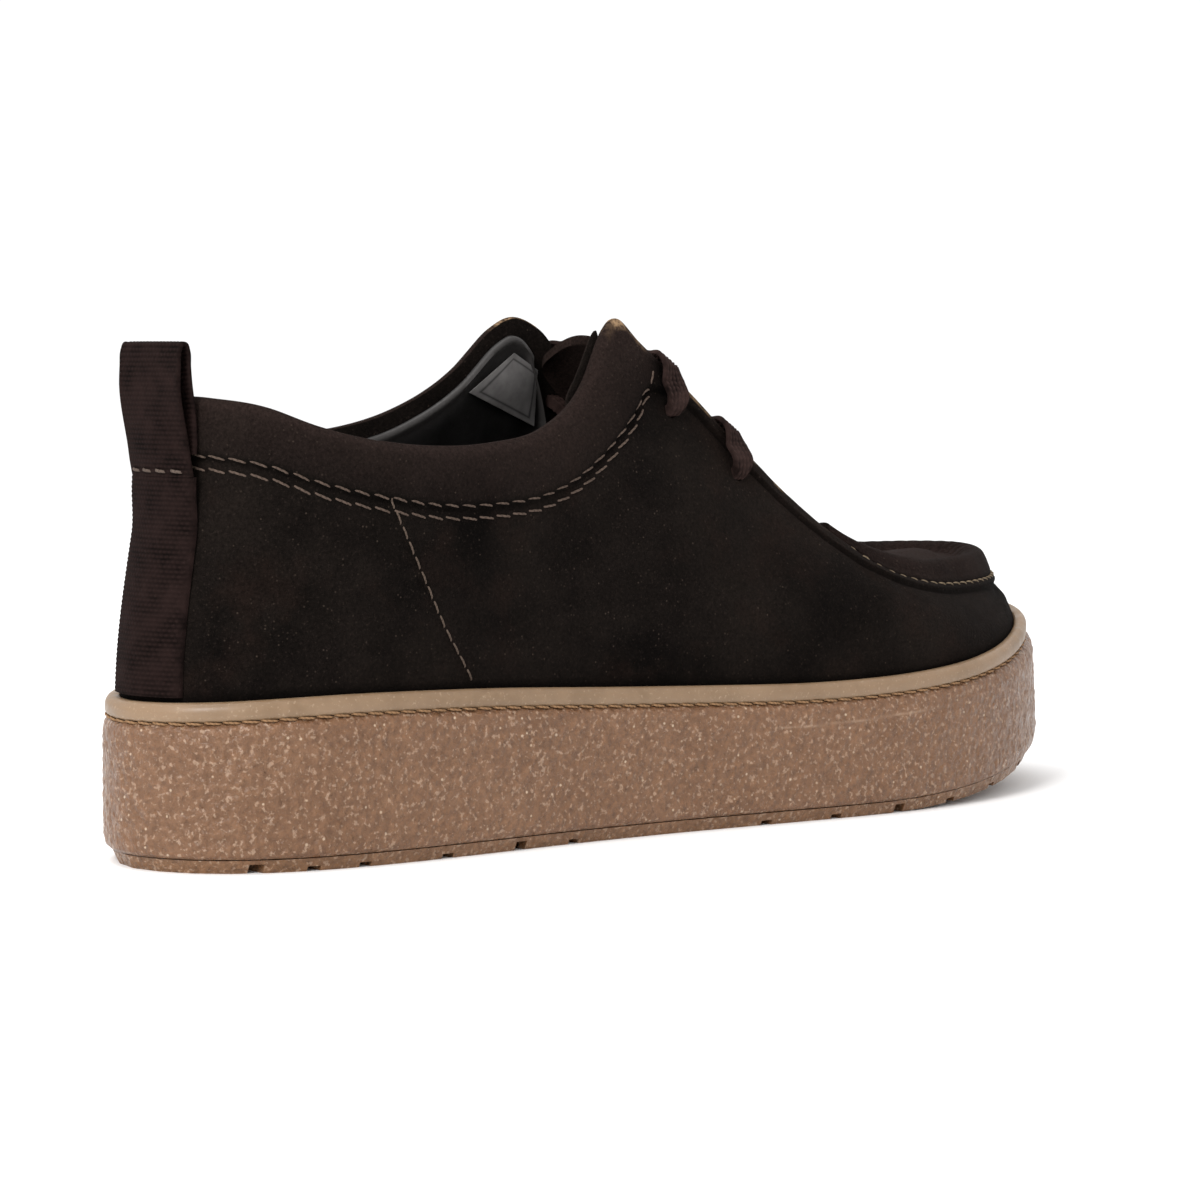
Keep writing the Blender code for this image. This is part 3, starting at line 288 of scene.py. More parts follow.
def hill(value: Array, middle: Array | float, width: float) -> Array:
    """Return a soft hill of height 1 round a middle."""
    return np.exp(-((value - middle) / width) ** 2)


def unit(vectors: Array) -> Array:
    """Scale each row to length one."""
    return vectors / np.maximum(np.linalg.norm(vectors, axis=-1, keepdims=True), 1e-12)


def run_lengths(points: Array) -> Array:
    """Return the distance run along a line of points, from 0."""
    return np.concatenate(([0.0], np.cumsum(np.linalg.norm(np.diff(points, axis=0), axis=1))))


def ripple(points: Array, size: float, seed: float = 0.0, octaves: int = 2) -> Array:
    """Return soft seeded noise at points.

    Args:
        points: Rows of 3-D points.
        size: Rough width of one bump, in metres.
        seed: Shift that picks another pattern.
        octaves: Layers of finer noise.

    Returns:
        One value a point, about -1 to 1.
    """
    shift = Vector((seed, 1.7 * seed, -0.6 * seed))
    return np.array([
        noise.fractal(Vector(point) / size + shift, 1.0, 2.0, octaves, noise_basis="PERLIN_ORIGINAL")
        for point in points
    ])


def crumbs(points: Array, size: float, seed: float = 0.0) -> Array:
    """Return a pattern of rounded crumbs.

    Args:
        points: Rows of 3-D points.
        size: Rough width of one crumb, in metres.
        seed: Shift that picks another pattern.

    Returns:
        One value a point, from 0 at a crumb's edge to about 1 at its middle.
    """
    shift = Vector((seed, -seed, 0.5 * seed))
    values = np.empty(len(points))
    for i, point in enumerate(points):
        near = noise.voronoi(Vector(point) / size + shift)[0]
        values[i] = min(1.0, near[1] - near[0])
    return values


@dataclass
class Last:
    """The form that every piece follows: the sole's outline and the upper's sections."""

    length: float = 0.300
    ball_width: float = 0.1015
    back_height: float = 0.1095
    instep_height: float = 0.1278
    toe_seam_height: float = 0.0600
    clearance: float = 0.0003
    toe_spring: float = 0.0135
    spring_start: float = 0.66
    cup_wall: float = 0.0040
    heel_floor: float = 0.0260
    ball_floor: float = 0.0180
    fall_start: float = 0.28
    fall_end: float = 0.62
    toe_lean_full: float = 0.12
    toe_lean_end: float = 0.36
    toe_lean_size: float = 0.0022
    rim_band_height: float = 0.0048
    upper_wall: float = 0.0020
    toe_reach: float = 0.5
    back_reach: float = 0.4
    low_handle: float = 0.4
    turn_step: float = 0.004
    outline_points: int = 1600
    table_columns: int = 1600
    table_rows: int = 160
    table_steps: int = 81
    walk: Array = field(init=False)
    outward: Array = field(init=False)
    turns: Array = field(init=False)
    wall_size: Array = field(init=False)
    rise_table: Array = field(init=False)

    def __post_init__(self) -> None:
        """Walk the sole outline finely, and keep its points, outward directions and turns."""
        share, lateral, medial = (column_of(OUTLINE_COLUMNS, OUTLINE_ROWS, name) for name in OUTLINE_COLUMNS)
        y = self.length * (0.5 - share)
        middle = self.ball_width * (lateral.max() - medial.max()) / 2
        lateral_side = np.column_stack((middle - self.ball_width * lateral, y))
        medial_side = np.column_stack((middle + self.ball_width * medial, y))
        points = np.vstack((lateral_side, medial_side[-2:0:-1]))
        knots = run_lengths(np.vstack((points, points[:1])))
        fine = np.linspace(0, knots[-1], self.outline_points, endpoint=False)
        self.walk = around(knots[:-1], points, knots[-1], fine)
        tangent = np.roll(self.walk, -1, axis=0) - np.roll(self.walk, 1, axis=0)
        outward = unit(np.column_stack((tangent[:, 1], -tangent[:, 0])))
        if np.sum(outward * (self.walk - self.walk.mean(axis=0))) < 0:
            outward = -outward
        self.outward = outward
        run = run_lengths(self.walk)
        toe = int(np.argmin(self.walk[:, 1]))
        total = run[-1] + np.linalg.norm(self.walk[0] - self.walk[-1])
        back = 1 + (run - run[toe]) / (total - run[toe])
        self.turns = np.where(run <= run[toe], run / run[toe], back)
        self.measure_walls()

    def measure_walls(self) -> None:
        """Measure the wall round the shoe, and tabulate the rise at each share of it from the top."""
        columns = self.table_columns
        turns = np.linspace(0.0, 2.0, columns + 1)
        steps = np.linspace(1.0, 0.0, self.table_steps)
        points = np.stack([self.skin(turns, step) for step in steps])
        run = np.cumsum(np.linalg.norm(np.diff(points, axis=0), axis=2), axis=0)
        run = np.vstack((np.zeros((1, columns + 1)), run))
        self.wall_size = run[-1]
        shares = np.linspace(0.0, 1.0, self.table_rows)
        self.rise_table = np.column_stack([
            np.interp(shares * run[-1, i], run[:, i], steps) for i in range(columns + 1)])

    def outline(self, turn: Array, inset: Array | float = 0.0) -> tuple[Array, Array]:
        """Return plan points of the outline.

        Args:
            turn: Places round the shoe.
            inset: Distance that the outline is moved in.

        Returns:
            The points, and the outward directions there.
        """
        turn = np.mod(np.asarray(turn, float), 2.0)
        columns = [np.interp(turn, self.turns, self.walk[:, axis], period=2.0) for axis in (0, 1)]
        ways = [np.interp(turn, self.turns, self.outward[:, axis], period=2.0) for axis in (0, 1)]
        outward = unit(np.column_stack(ways))
        return np.column_stack(columns) - outward * np.reshape(inset, (-1, 1)), outward

    def away(self, turn: Array) -> Array:
        """Return the outline's outward directions as level 3-D rows."""
        outward = self.outline(turn)[1]
        return np.column_stack((outward, np.zeros(len(outward))))

    def share(self, y: Array) -> Array:
        """Turn a Y place into a share of the length from the heel."""
        return np.clip(0.5 - y / self.length, 0.0, 1.0)

    def spring(self, y: Array) -> Array:
        """Height of the tread's underside, which lifts towards the toe."""
        past = np.clip((self.share(y) - self.spring_start) / (1 - self.spring_start), 0.0, None)
        return self.toe_spring * past ** 2

    def groove(self, y: Array) -> Array:
        """Height of the stitched groove between the crepe wall and the rim band."""
        return self.back_height * read_table(GROOVE_COLUMNS, GROOVE_ROWS, "height", self.share(y))

    def cup_floor(self, y: Array) -> Array:
        """Height of the floor inside the cup."""
        ease = smooth(self.share(y), self.fall_start, self.fall_end)
        return self.heel_floor + (self.ball_floor - self.heel_floor) * ease + self.spring(y)

    def toe_lean(self, turn: Array) -> Array:
        """Distance that the toe of the sole leans back between its foot and its rim."""
        off = np.abs(np.mod(np.asarray(turn, float), 2.0) - 1.0)
        return self.toe_lean_size * (1.0 - smooth(off, self.toe_lean_full, self.toe_lean_end))

    def ring(self, turn: Array, inset: float, height: Callable[[Array], Array], lean: float = 1.0) -> Array:
        """Return 3-D points of an inset outline.

        Args:
            turn: Places round the shoe.
            inset: Distance that the outline is moved in.
            height: Gives each point's height from its Y place.
            lean: Share of the toe's lean that this height has.

        Returns:
            The points.
        """
        plan, _ = self.outline(turn, inset + lean * self.toe_lean(turn))
        return np.column_stack((plan, height(plan[:, 1])))

    def section(self, name: str, turn: Array) -> Array:
        """Read one column of the upper's sections round the whole shoe.

        Args:
            name: Column to read.
            turn: Places round the shoe.

        Returns:
            The column's values there.
        """
        lateral_turns = column_of(SECTION_COLUMNS, LATERAL_ROWS, "turn")
        medial_turns = 2.0 - column_of(SECTION_COLUMNS, MEDIAL_ROWS, "turn")[::-1]
        lateral = column_of(SECTION_COLUMNS, LATERAL_ROWS, name)
        medial = column_of(SECTION_COLUMNS, MEDIAL_ROWS, name)[::-1]
        sign = -1.0 if name == "half" else 1.0
        knots = np.concatenate((lateral_turns, medial_turns))
        return around(knots, np.concatenate((sign * lateral, medial)), 2.0, turn)

    def top_edge(self, turn: Array) -> Array:
        """Return the top edge of the upper: collar, flap tips, facings and toe seam.

        Args:
            turn: Places round the shoe.

        Returns:
            The points.
        """
        turn = np.mod(np.asarray(turn, float), 2.0)
        x = self.ball_width * self.section("half", turn)
        y = self.length * (0.5 - self.section("share", turn))
        toe_part = np.clip(1 - np.abs(turn - 1.0) / self.toe_reach, 0.0, 1.0)
        back_part = np.clip(1 - np.minimum(turn, 2.0 - turn) / self.back_reach, 0.0, 1.0)
        heights = column_of(SECTION_COLUMNS, LATERAL_ROWS, "height")
        toe_scale = self.toe_seam_height / (heights[-1] * self.instep_height)
        back_scale = self.back_height / (heights[0] * self.instep_height)
        z = self.instep_height * self.section("height", turn)
        z = z * (1 + (toe_scale - 1) * toe_part) * (1 + (back_scale - 1) * back_part)
        return np.column_stack((x, y, z))

    def wall_base(self, turn: Array) -> tuple[Array, Array]:
        """Return where the wall of the upper rises out of the rim band, and its outward directions.

        Args:
            turn: Places round the shoe.

        Returns:
            The points and the directions.
        """
        inset = self.cup_wall + self.clearance + self.toe_lean(turn)
        plan, outward = self.outline(turn, inset)
        z = self.groove(plan[:, 1]) + self.rim_band_height
        return np.column_stack((plan, z)), np.column_stack((outward, np.zeros(len(outward))))

    def skin(self, turn: Array, rise: Array | float) -> Array:
        """Return points of the upper's outer face.

        Args:
            turn: Places round the shoe.
            rise: Place up the wall, from 0 at the rim band to 1 at the top edge.

        Returns:
            The points.
        """
        turn = np.asarray(turn, float)
        base, outward = self.wall_base(turn)
        edge = self.top_edge(turn)
        lift = np.zeros_like(edge)
        lift[:, 2] = edge[:, 2] - base[:, 2]
        low = base + self.low_handle * lift + outward * self.ball_width * self.section("low", turn)[:, None]
        drop = lift * self.section("drop", turn)[:, None]
        high = edge - drop + outward * self.ball_width * self.section("flare", turn)[:, None]
        t = np.broadcast_to(np.asarray(rise, float), turn.shape)[:, None]
        first = (1 - t) ** 3 * base + 3 * (1 - t) ** 2 * t * low
        return first + 3 * (1 - t) * t ** 2 * high + t ** 3 * edge

    def normal(self, turn: Array, rise: Array | float) -> Array:
        """Return the outward direction of the upper's outer face at each turn and rise.

        Args:
            turn: Places round the shoe.
            rise: Place up the wall of each.

        Returns:
            One direction a place.
        """
        turn = np.asarray(turn, float)
        rise = np.broadcast_to(np.asarray(rise, float), turn.shape)
        step = self.turn_step
        low = np.clip(rise - step, 0.0, 1.0 - 2 * step)
        up = self.skin(turn, low + 2 * step) - self.skin(turn, low)
        along = self.skin(turn + step, rise) - self.skin(turn - step, rise)
        normal = np.cross(up, along)
        outward = self.outline(turn)[1]
        flip = np.where(np.sum(normal[:, :2] * outward, axis=1) < 0, -1.0, 1.0)
        return unit(normal) * flip[:, None]

    def rise_below(self, turn: Array, depth: Array | float) -> Array:
        """Return the rise that lies a depth below the top edge, measured down the wall.

        Args:
            turn: Places round the shoe.
            depth: Distance down the wall, one for all places or one each.

        Returns:
            One rise a place.
        """
        turn = np.mod(np.asarray(turn, float), 2.0)
        columns = self.rise_table.shape[1] - 1
        column = np.clip(turn / 2.0 * columns, 0.0, columns - 1e-9)
        left = column.astype(int)
        part = column - left
        total = self.wall_size[left] * (1 - part) + self.wall_size[left + 1] * part
        row = np.clip(depth / total, 0.0, 1.0) * (self.rise_table.shape[0] - 1)
        above = np.minimum(row.astype(int), self.rise_table.shape[0] - 2)
        share = row - above
        one = self.rise_table[above, left] * (1 - share) + self.rise_table[above + 1, left] * share
        two = self.rise_table[above, left + 1] * (1 - share) + self.rise_table[above + 1, left + 1] * share
        return one * (1 - part) + two * part

    def locate(self, side: Side, y: float, z: float) -> tuple[float, float]:
        """Find the turn and rise of the outer face nearest to a Y and Z place on one side.

        Args:
            side: Side of the shoe.
            y: Place along the shoe.
            z: Height.

        Returns:
            The turn round the whole shoe, and the rise.
        """
        low_turn, high_turn, low_rise, high_rise = 0.02, 0.98, 0.0, 1.0
        best = (0.0, 0.0)
        count = 41
        for _ in range(3):
            turns, rises = np.meshgrid(
                np.linspace(low_turn, high_turn, count), np.linspace(low_rise, high_rise, count))
            points = self.skin(side.turn(turns.ravel()), rises.ravel())
            index = int(np.argmin((points[:, 1] - y) ** 2 + (points[:, 2] - z) ** 2))
            best = (float(turns.ravel()[index]), float(rises.ravel()[index]))
            turn_span, rise_span = (high_turn - low_turn) / 20, (high_rise - low_rise) / 20
            low_turn, high_turn = best[0] - turn_span, best[0] + turn_span
            low_rise, high_rise = max(0.0, best[1] - rise_span), min(1.0, best[1] + rise_span)
        return float(side.turn(best[0])), best[1]

    def bridge(self, name: str, turn: Array) -> Array:
        """Read the crown or the ridge share between the facings, the same on both sides."""
        side_turn = np.where(turn > 1.0, 2.0 - turn, turn)
        return read_table(BRIDGE_COLUMNS, BRIDGE_ROWS, name, side_turn)


@dataclass
class Shape:
    """Points and faces of one piece while it is built, with a value a point for its finish."""

    points: list[Array] = field(default_factory=list)
    faces: list[tuple[int, ...]] = field(default_factory=list)
    marks: dict[str, list[Array]] = field(default_factory=dict)
    count: int = 0

    def add_points(self, points: Array, **marks: Array | float) -> int:
        """Add points.

        Args:
            points: Rows of 3-D points.
            marks: Named values for the finish, one for all the points or one each.

        Returns:
            The index of the first added point.
        """
        first = self.count
        self.points.append(np.asarray(points, float))
        self.count += len(points)
        for name in set(marks) | set(self.marks):
            done = self.marks.setdefault(name, [np.zeros(first)] if first else [])
            done.append(np.broadcast_to(np.asarray(marks.get(name, 0.0), float), (len(points),)))
        return first

    def add_grid(self, grid: Array, wrap_rows: bool = False, wrap_columns: bool = False,
                 **marks: Array) -> Array:
        """Add a grid of quads.

        Args:
            grid: Points as rows, columns and 3 axes.
            wrap_rows: Join the last row to the first.
            wrap_columns: Join the last column to the first.
            marks: Named values for the finish, one a point of the grid.

        Returns:
            The index of each point of the grid.
        """
        rows, columns = grid.shape[:2]
        flat = {name: np.broadcast_to(value, (rows, columns)).reshape(-1) for name, value in marks.items()}
        first = self.add_points(grid.reshape(-1, 3), **flat)
        index = first + np.arange(rows * columns).reshape(rows, columns)
        one = index if wrap_rows else index[:-1]
        two = np.roll(index, -1, axis=0) if wrap_rows else index[1:]
        if wrap_columns:
            one_next, two_next = np.roll(one, -1, axis=1), np.roll(two, -1, axis=1)
        else:
            one, one_next, two, two_next = one[:, :-1], one[:, 1:], two[:, :-1], two[:, 1:]
        quads = np.stack((one, one_next, two_next, two), axis=-1).reshape(-1, 4)
        self.faces.extend(map(tuple, quads.tolist()))
        return index

    def join(self, one: Array, two: Array) -> None:
        """Join two lines of point indices with quads."""
        for i in range(len(one) - 1):
            self.faces.append((int(one[i]), int(one[i + 1]), int(two[i + 1]), int(two[i])))

    def close(self, one: Array, two: Array) -> None:
        """Join the four rims of two grids that lie face to face."""
        for part in (np.s_[0], np.s_[-1], np.s_[:, 0], np.s_[:, -1]):
            self.join(one[part], two[part])

    def cap(self, ring: Iterable[int]) -> None:
        """Close a ring of point indices with one face."""
        self.faces.append(tuple(int(i) for i in ring))

    def make(self, name: str, finish: "Finish", slot: Slot,
             replaces: Sequence[str] = ()) -> bpy.types.Object:
        """Make the object of this piece, dress it and let it ride on the shoe.

        Args:
            name: Name of the object.
            finish: Finish that it wears.
            slot: Not used.
            replaces: Solids that it stands for.

        Returns:
            The object.
        """
        mesh = bpy.data.meshes.new(name)
        mesh.from_pydata(np.vstack(self.points).tolist(), [], self.faces)
        for mark, parts in self.marks.items():
            layer = mesh.attributes.new(mark, "FLOAT", "POINT")
            layer.data.foreach_set("value", np.concatenate(parts).astype(np.float32))
        turn_faces_out(mesh)
        mesh.shade_smooth()
        mesh.set_sharp_from_angle(angle=math.radians(SHARP_ANGLE))
        mesh.materials.append(finish.material())
        item = bpy.data.objects.new(name, mesh)
        bpy.context.scene.collection.objects.link(item)
        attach(item, "root")
        if replaces:
            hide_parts(*replaces)
        LOG.info("made %s with %d points", name, len(mesh.vertices))
        return item


def turn_faces_out(mesh: bpy.types.Mesh) -> None:
    """Turn all faces of a closed mesh outward.

    Args:
        mesh: Mesh to change.
    """
    work = bmesh.new()
    work.from_mesh(mesh)
    bmesh.ops.recalc_face_normals(work, faces=work.faces)
    work.to_mesh(mesh)
    work.free()


class Nodes:
    """Short calls for building one material's nodes."""

    def __init__(self, name: str, rough: float, specular: float = 0.5) -> None:
        """Start a material with a plain shader.

        Args:
            name: Name of the material.
            rough: Roughness of the shader.
            specular: Specular level of the shader.
        """
        self.material = bpy.data.materials.new(name)
        self.material.use_nodes = True
        self.tree = self.material.node_tree
        self.shader = self.tree.nodes["Principled BSDF"]
        self.shader.inputs["Roughness"].default_value = rough
        self.shader.inputs["Specular IOR Level"].default_value = specular
        self.place = self.tree.nodes.new("ShaderNodeTexCoord").outputs["Object"]

    def link(self, output: Socket, node: bpy.types.Node, name: str | int) -> None:
        """Link an output to an input of a node."""
        self.tree.links.new(output, node.inputs[name])

    def stretch(self, x: float, y: float, z: float) -> Socket:
        """Return the piece's own coordinates, scaled along each axis.

        Args:
            x: Scale along X.
            y: Scale along Y.
            z: Scale along Z.

        Returns:
            The coordinates.
        """
        node = self.tree.nodes.new("ShaderNodeMapping")
        node.inputs["Scale"].default_value = (x, y, z)
        self.link(self.place, node, "Vector")
        return node.outputs["Vector"]

    def grain(self, scale: float, detail: float = 2.0, rough: float = 0.5,
              place: Socket | None = None) -> Socket:
        """Return soft noise of a scale, in bumps a metre.

        Args:
            scale: Bumps a metre.
            detail: Layers of finer noise.
            rough: Strength of the finer layers.
            place: Coordinates, or none for the piece's own.

        Returns:
            The noise.
        """
        node = self.tree.nodes.new("ShaderNodeTexNoise")
        node.inputs["Scale"].default_value = scale
        node.inputs["Detail"].default_value = detail
        node.inputs["Roughness"].default_value = rough
        self.link(place or self.place, node, "Vector")
        return node.outputs["Fac"]

    def cells(self, scale: float, feature: str = "F1", output: str = "Distance") -> Socket:
        """Return a pattern of cells of a scale, in cells a metre.

        Args:
            scale: Cells a metre.
            feature: Feature of the cells.
            output: Output to read.

        Returns:
            The pattern.
        """
        node = self.tree.nodes.new("ShaderNodeTexVoronoi")
        node.feature = feature
        node.inputs["Scale"].default_value = scale
        self.link(self.place, node, "Vector")
        return node.outputs[output]

    def mark(self, name: str) -> Socket:
        """Return a value that the piece's points carry.

        Args:
            name: Name of the value.

        Returns:
            The value.
        """
        node = self.tree.nodes.new("ShaderNodeAttribute")
        node.attribute_name = name
        return node.outputs["Fac"]

    def ramp(self, factor: Socket,
             stops: Sequence[tuple[float, Color]]) -> Socket:
        """Return a colour for a value.

        Args:
            factor: The value.
            stops: Places from 0 to 1, each with its colour.

        Returns:
            The colour.
        """
        node = self.tree.nodes.new("ShaderNodeValToRGB")
        band = node.color_ramp
        while len(band.elements) < len(stops):
            band.elements.new(0.5)
        for element, (place, color) in zip(band.elements, stops):
            element.position = place
            element.color = (*color, 1.0)
        self.link(factor, node, "Fac")
        return node.outputs["Color"]

    def mix(self, factor: Socket | float, one: Socket,
            two: Socket | Color, blend: str = "MIX") -> Socket:
        """Mix two colours by a factor.

        Args:
            factor: Share of the second colour.
            one: First colour.
            two: Second colour.
            blend: How the second is laid over the first.

        Returns:
            The mixed colour.
        """
        node = self.tree.nodes.new("ShaderNodeMix")
        node.data_type = "RGBA"
        node.blend_type = blend
        if isinstance(factor, float):
            node.inputs[0].default_value = factor
        else:
            self.link(factor, node, 0)
        self.link(one, node, 6)
        if isinstance(two, tuple):
            node.inputs[7].default_value = (*two, 1.0)
        else:
            self.link(two, node, 7)
        return node.outputs[2]

    def span(self, value: Socket, low: float, high: float,
             to_low: float = 0.0, to_high: float = 1.0) -> Socket:
        """Map a range of a value to another range, and hold it there outside.

        Args:
            value: Value to map.
            low: Low end of its range.
            high: High end of its range.
            to_low: Result at the low end.
            to_high: Result at the high end.

        Returns:
            The mapped value.
        """
        node = self.tree.nodes.new("ShaderNodeMapRange")
        for name, number in (("From Min", low), ("From Max", high), ("To Min", to_low), ("To Max", to_high)):
            node.inputs[name].default_value = number
        self.link(value, node, "Value")
        return node.outputs["Result"]

    def times(self, one: Socket, two: Socket) -> Socket:
        """Return one value times another.

        Args:
            one: First value.
            two: Second value.

        Returns:
            Their product.
        """
        node = self.tree.nodes.new("ShaderNodeMath")
        node.operation = "MULTIPLY"
        self.link(one, node, 0)
        self.link(two, node, 1)
        return node.outputs[0]

    def fade(self, value: Socket, low: float, high: float, dark: Color,
             light: Color) -> Socket:
        """Return a colour that runs from dark to light over a range of a value."""
        return self.ramp(self.span(value, low, high), ((0.0, dark), (1.0, light)))

    def lay(self, base: Socket, color: Color, value: Socket, low: float,
            high: float, most: float) -> Socket:
        """Lay a colour over the base, from none at the low end of a value's range to most at its high end."""
        return self.mix(self.span(value, low, high, 0.0, most), base, color)

    def bump(self, height: Socket, strength: float, distance: float,
             under: Socket | None = None) -> Socket:
        """Return a normal bent by a height, over another normal where one is given.

        Args:
            height: Height of the relief.
            strength: Strength of the bend.
            distance: Full height in metres.
            under: Normal that it bends, or none for the mesh's own.

        Returns:
            The bent normal.
        """
        node = self.tree.nodes.new("ShaderNodeBump")
        node.inputs["Strength"].default_value = strength
        node.inputs["Distance"].default_value = distance
        self.link(height, node, "Height")
        if under is not None:
            self.link(under, node, "Normal")
        return node.outputs["Normal"]

    def wear(self, color: Socket | None, normal: Socket | None,
             rough: Socket | None = None) -> bpy.types.Material:
        """Give the shader its colour, normal and roughness, and return the material.

        Args:
            color: Colour, or none for the shader's own.
            normal: Normal, or none for the mesh's own.
            rough: Roughness, or none for the shader's own.

        Returns:
            The material.
        """
        if color is not None:
            self.link(color, self.shader, "Base Color")
        if normal is not None:
            self.link(normal, self.shader, "Normal")
        if rough is not None:
            self.link(rough, self.shader, "Roughness")
        return self.material


class Finish:
    """A finish that a piece can wear. Each one makes its material once."""

    made: dict[str, bpy.types.Material] = {}

    def material(self) -> bpy.types.Material:
        """Return this finish's material.

        Returns:
            The material.
        """
        key = repr(self)
        if key not in Finish.made:
            Finish.made[key] = self.build()
        return Finish.made[key]

    def build(self) -> bpy.types.Material:
        """Build the material's nodes."""
        raise NotImplementedError


@dataclass(frozen=True)
class Suede(Finish):
    """Brushed suede: dark, dry, mottled where the nap lies another way; marks also paint shade and light onto
    it.
    """

    name: str = "suede"
    dark: Color = (0.0018, 0.0013, 0.0011)
    light: Color = (0.0082, 0.0060, 0.0049)
    brushed_and_lit: Color = (0.0190, 0.0120, 0.0104)
    warm: Color = (0.0118, 0.0066, 0.0050)
    raw: Color = (0.27, 0.175, 0.10)
    speck: Color = (0.034, 0.024, 0.020)
    dust: Color = (0.085, 0.062, 0.048)
    shadow: Color = (0.0012, 0.0009, 0.0007)

    def build(self) -> bpy.types.Material:
        """Build the suede's nodes.

        Returns:
            The material.
        """
        make = Nodes(self.name, 0.95, 0.04)
        make.shader.inputs["Sheen Weight"].default_value = 0.012
        make.shader.inputs["Sheen Roughness"].default_value = 0.45
        make.shader.inputs["Sheen Tint"].default_value = (0.62, 0.46, 0.38, 1.0)
        clouds = make.grain(24.0, 4.0, 0.62)
        streaks = make.grain(1.0, 3.0, 0.6, make.stretch(150.0, 60.0, 95.0))
        fibre = make.grain(1500.0, 3.0, 0.72)
        nap = make.grain(1250.0, 4.0, 0.70)
        dust = make.cells(1150.0, "F1", "Color")
        dust_dot = make.cells(1150.0, "F1", "Distance")
        base = make.fade(clouds, 0.34, 0.68, self.dark, self.light)
        base = make.lay(base, self.light, streaks, 0.50, 0.75, 0.55)
        rubbed = make.grain(34.0, 4.0, 0.66, make.stretch(1.4, 0.8, 1.0))
        base = make.lay(base, self.warm, rubbed, 0.54, 0.74, 0.60)
        # The nap mark lays the lighter brushed colour: partly real brushed nap, partly painted light on the
        # collar pad's top, the rolled top edge and the plug's raised faces.
        base = make.lay(base, self.brushed_and_lit, make.mark("nap"), 0.0, 1.0, 0.75)
        shade = make.fade(nap, 0.32, 0.68, (0.60, 0.59, 0.58), (1.44, 1.44, 1.44))
        base = make.mix(1.0, base, shade, "MULTIPLY")
        base = make.lay(base, self.speck, fibre, 0.58, 0.76, 0.42)
        lucky = make.span(dust, 0.74, 0.92)
        dot = make.span(dust_dot, 0.12, 0.34, 0.38, 0.0)
        base = make.mix(make.times(lucky, dot), base, self.dust)
        # Tan of the cut leather core along the top edge; below the flap tips the same tan runs down the outer
        # face as a painted highlight on the rolled edge.
        core = make.times(make.mark("raw"), make.span(make.grain(620.0, 3.0, 0.6), 0.36, 0.56))
        base = make.mix(core, base, self.raw)
        base = make.mix(make.mark("deep"), base, self.shadow)
        normal = make.bump(fibre, 0.70, 0.00045)
        normal = make.bump(nap, 0.50, 0.00045, normal)
        return make.wear(base, normal)


@dataclass(frozen=True)
class CrumbCrepe(Finish):
    """Crumbed crepe rubber: rounded crumbs, some brighter, half clear and slightly glossy, with painted
    glints, painted shade between crumbs and lump tops painted lighter.
    """

    name: str = "crumb_crepe"
    dark: Color = (0.148, 0.073, 0.036)
    light: Color = (0.174, 0.089, 0.046)
    fleck: Color = (0.390, 0.268, 0.186)
    hollow_shade: Color = (0.128, 0.064, 0.032)
    painted_glint: Color = (0.56, 0.43, 0.31)
    seam: Color = (0.36, 0.245, 0.165)

    def build(self) -> bpy.types.Material:
        """Build the crepe's nodes.

        Returns:
            The material.
        """
        make = Nodes(self.name, 0.42, 0.33)
        make.shader.inputs["Subsurface Weight"].default_value = 0.12
        make.shader.inputs["Subsurface Radius"].default_value = (1.0, 0.55, 0.30)
        make.shader.inputs["Subsurface Scale"].default_value = 0.0015
        clouds = make.grain(38.0, 2.0, 0.5)
        lumps = make.grain(560.0, 3.0, 0.62)
        cell = make.cells(620.0, "F1", "Color")
        round_cell = make.cells(520.0, "SMOOTH_F1", "Distance")
        flecks = make.grain(820.0, 2.0, 0.55)
        fine = make.grain(1700.0, 2.0, 0.6)
        glint_cells = make.cells(760.0, "F1", "Color")
        glint_dot = make.cells(760.0, "F1", "Distance")
        base = make.fade(clouds, 0.34, 0.68, self.dark, self.light)
        tone = make.ramp(cell, ((0.0, (0.92, 0.91, 0.90)), (1.0, (1.08, 1.08, 1.08))))
        base = make.mix(1.0, base, tone, "MULTIPLY")
        # The lumps that bend the normal also set the tone, lighter on their tops and darker between them:
        # painted light and shade.
        swell = make.fade(lumps, 0.36, 0.66, (0.80, 0.78, 0.76), (1.18, 1.20, 1.22))
        base = make.mix(1.0, base, swell, "MULTIPLY")
        base = make.lay(base, self.fleck, flecks, 0.57, 0.65, 0.55)
        # Painted shade in the hollows between crumbs.
        base = make.lay(base, self.hollow_shade, make.mark("pit"), 0.0, 1.0, 0.28)
        # Painted glints: small bright dots that stand in for highlights on the crumbs.
        lucky = make.span(glint_cells, 0.80, 0.88)
        dot = make.span(glint_dot, 0.16, 0.34, 0.70, 0.0)
        base = make.mix(make.times(lucky, dot), base, self.painted_glint)
        base = make.mix(make.mark("line"), base, self.seam)
        normal = make.bump(round_cell, 0.75, -0.0010)
        normal = make.bump(lumps, 0.70, 0.0010, normal)
        normal = make.bump(fine, 0.35, 0.00028, normal)
        rough = make.span(make.grain(380.0, 2.0), 0.3, 0.7, 0.26, 0.46)
        return make.wear(base, normal, rough)


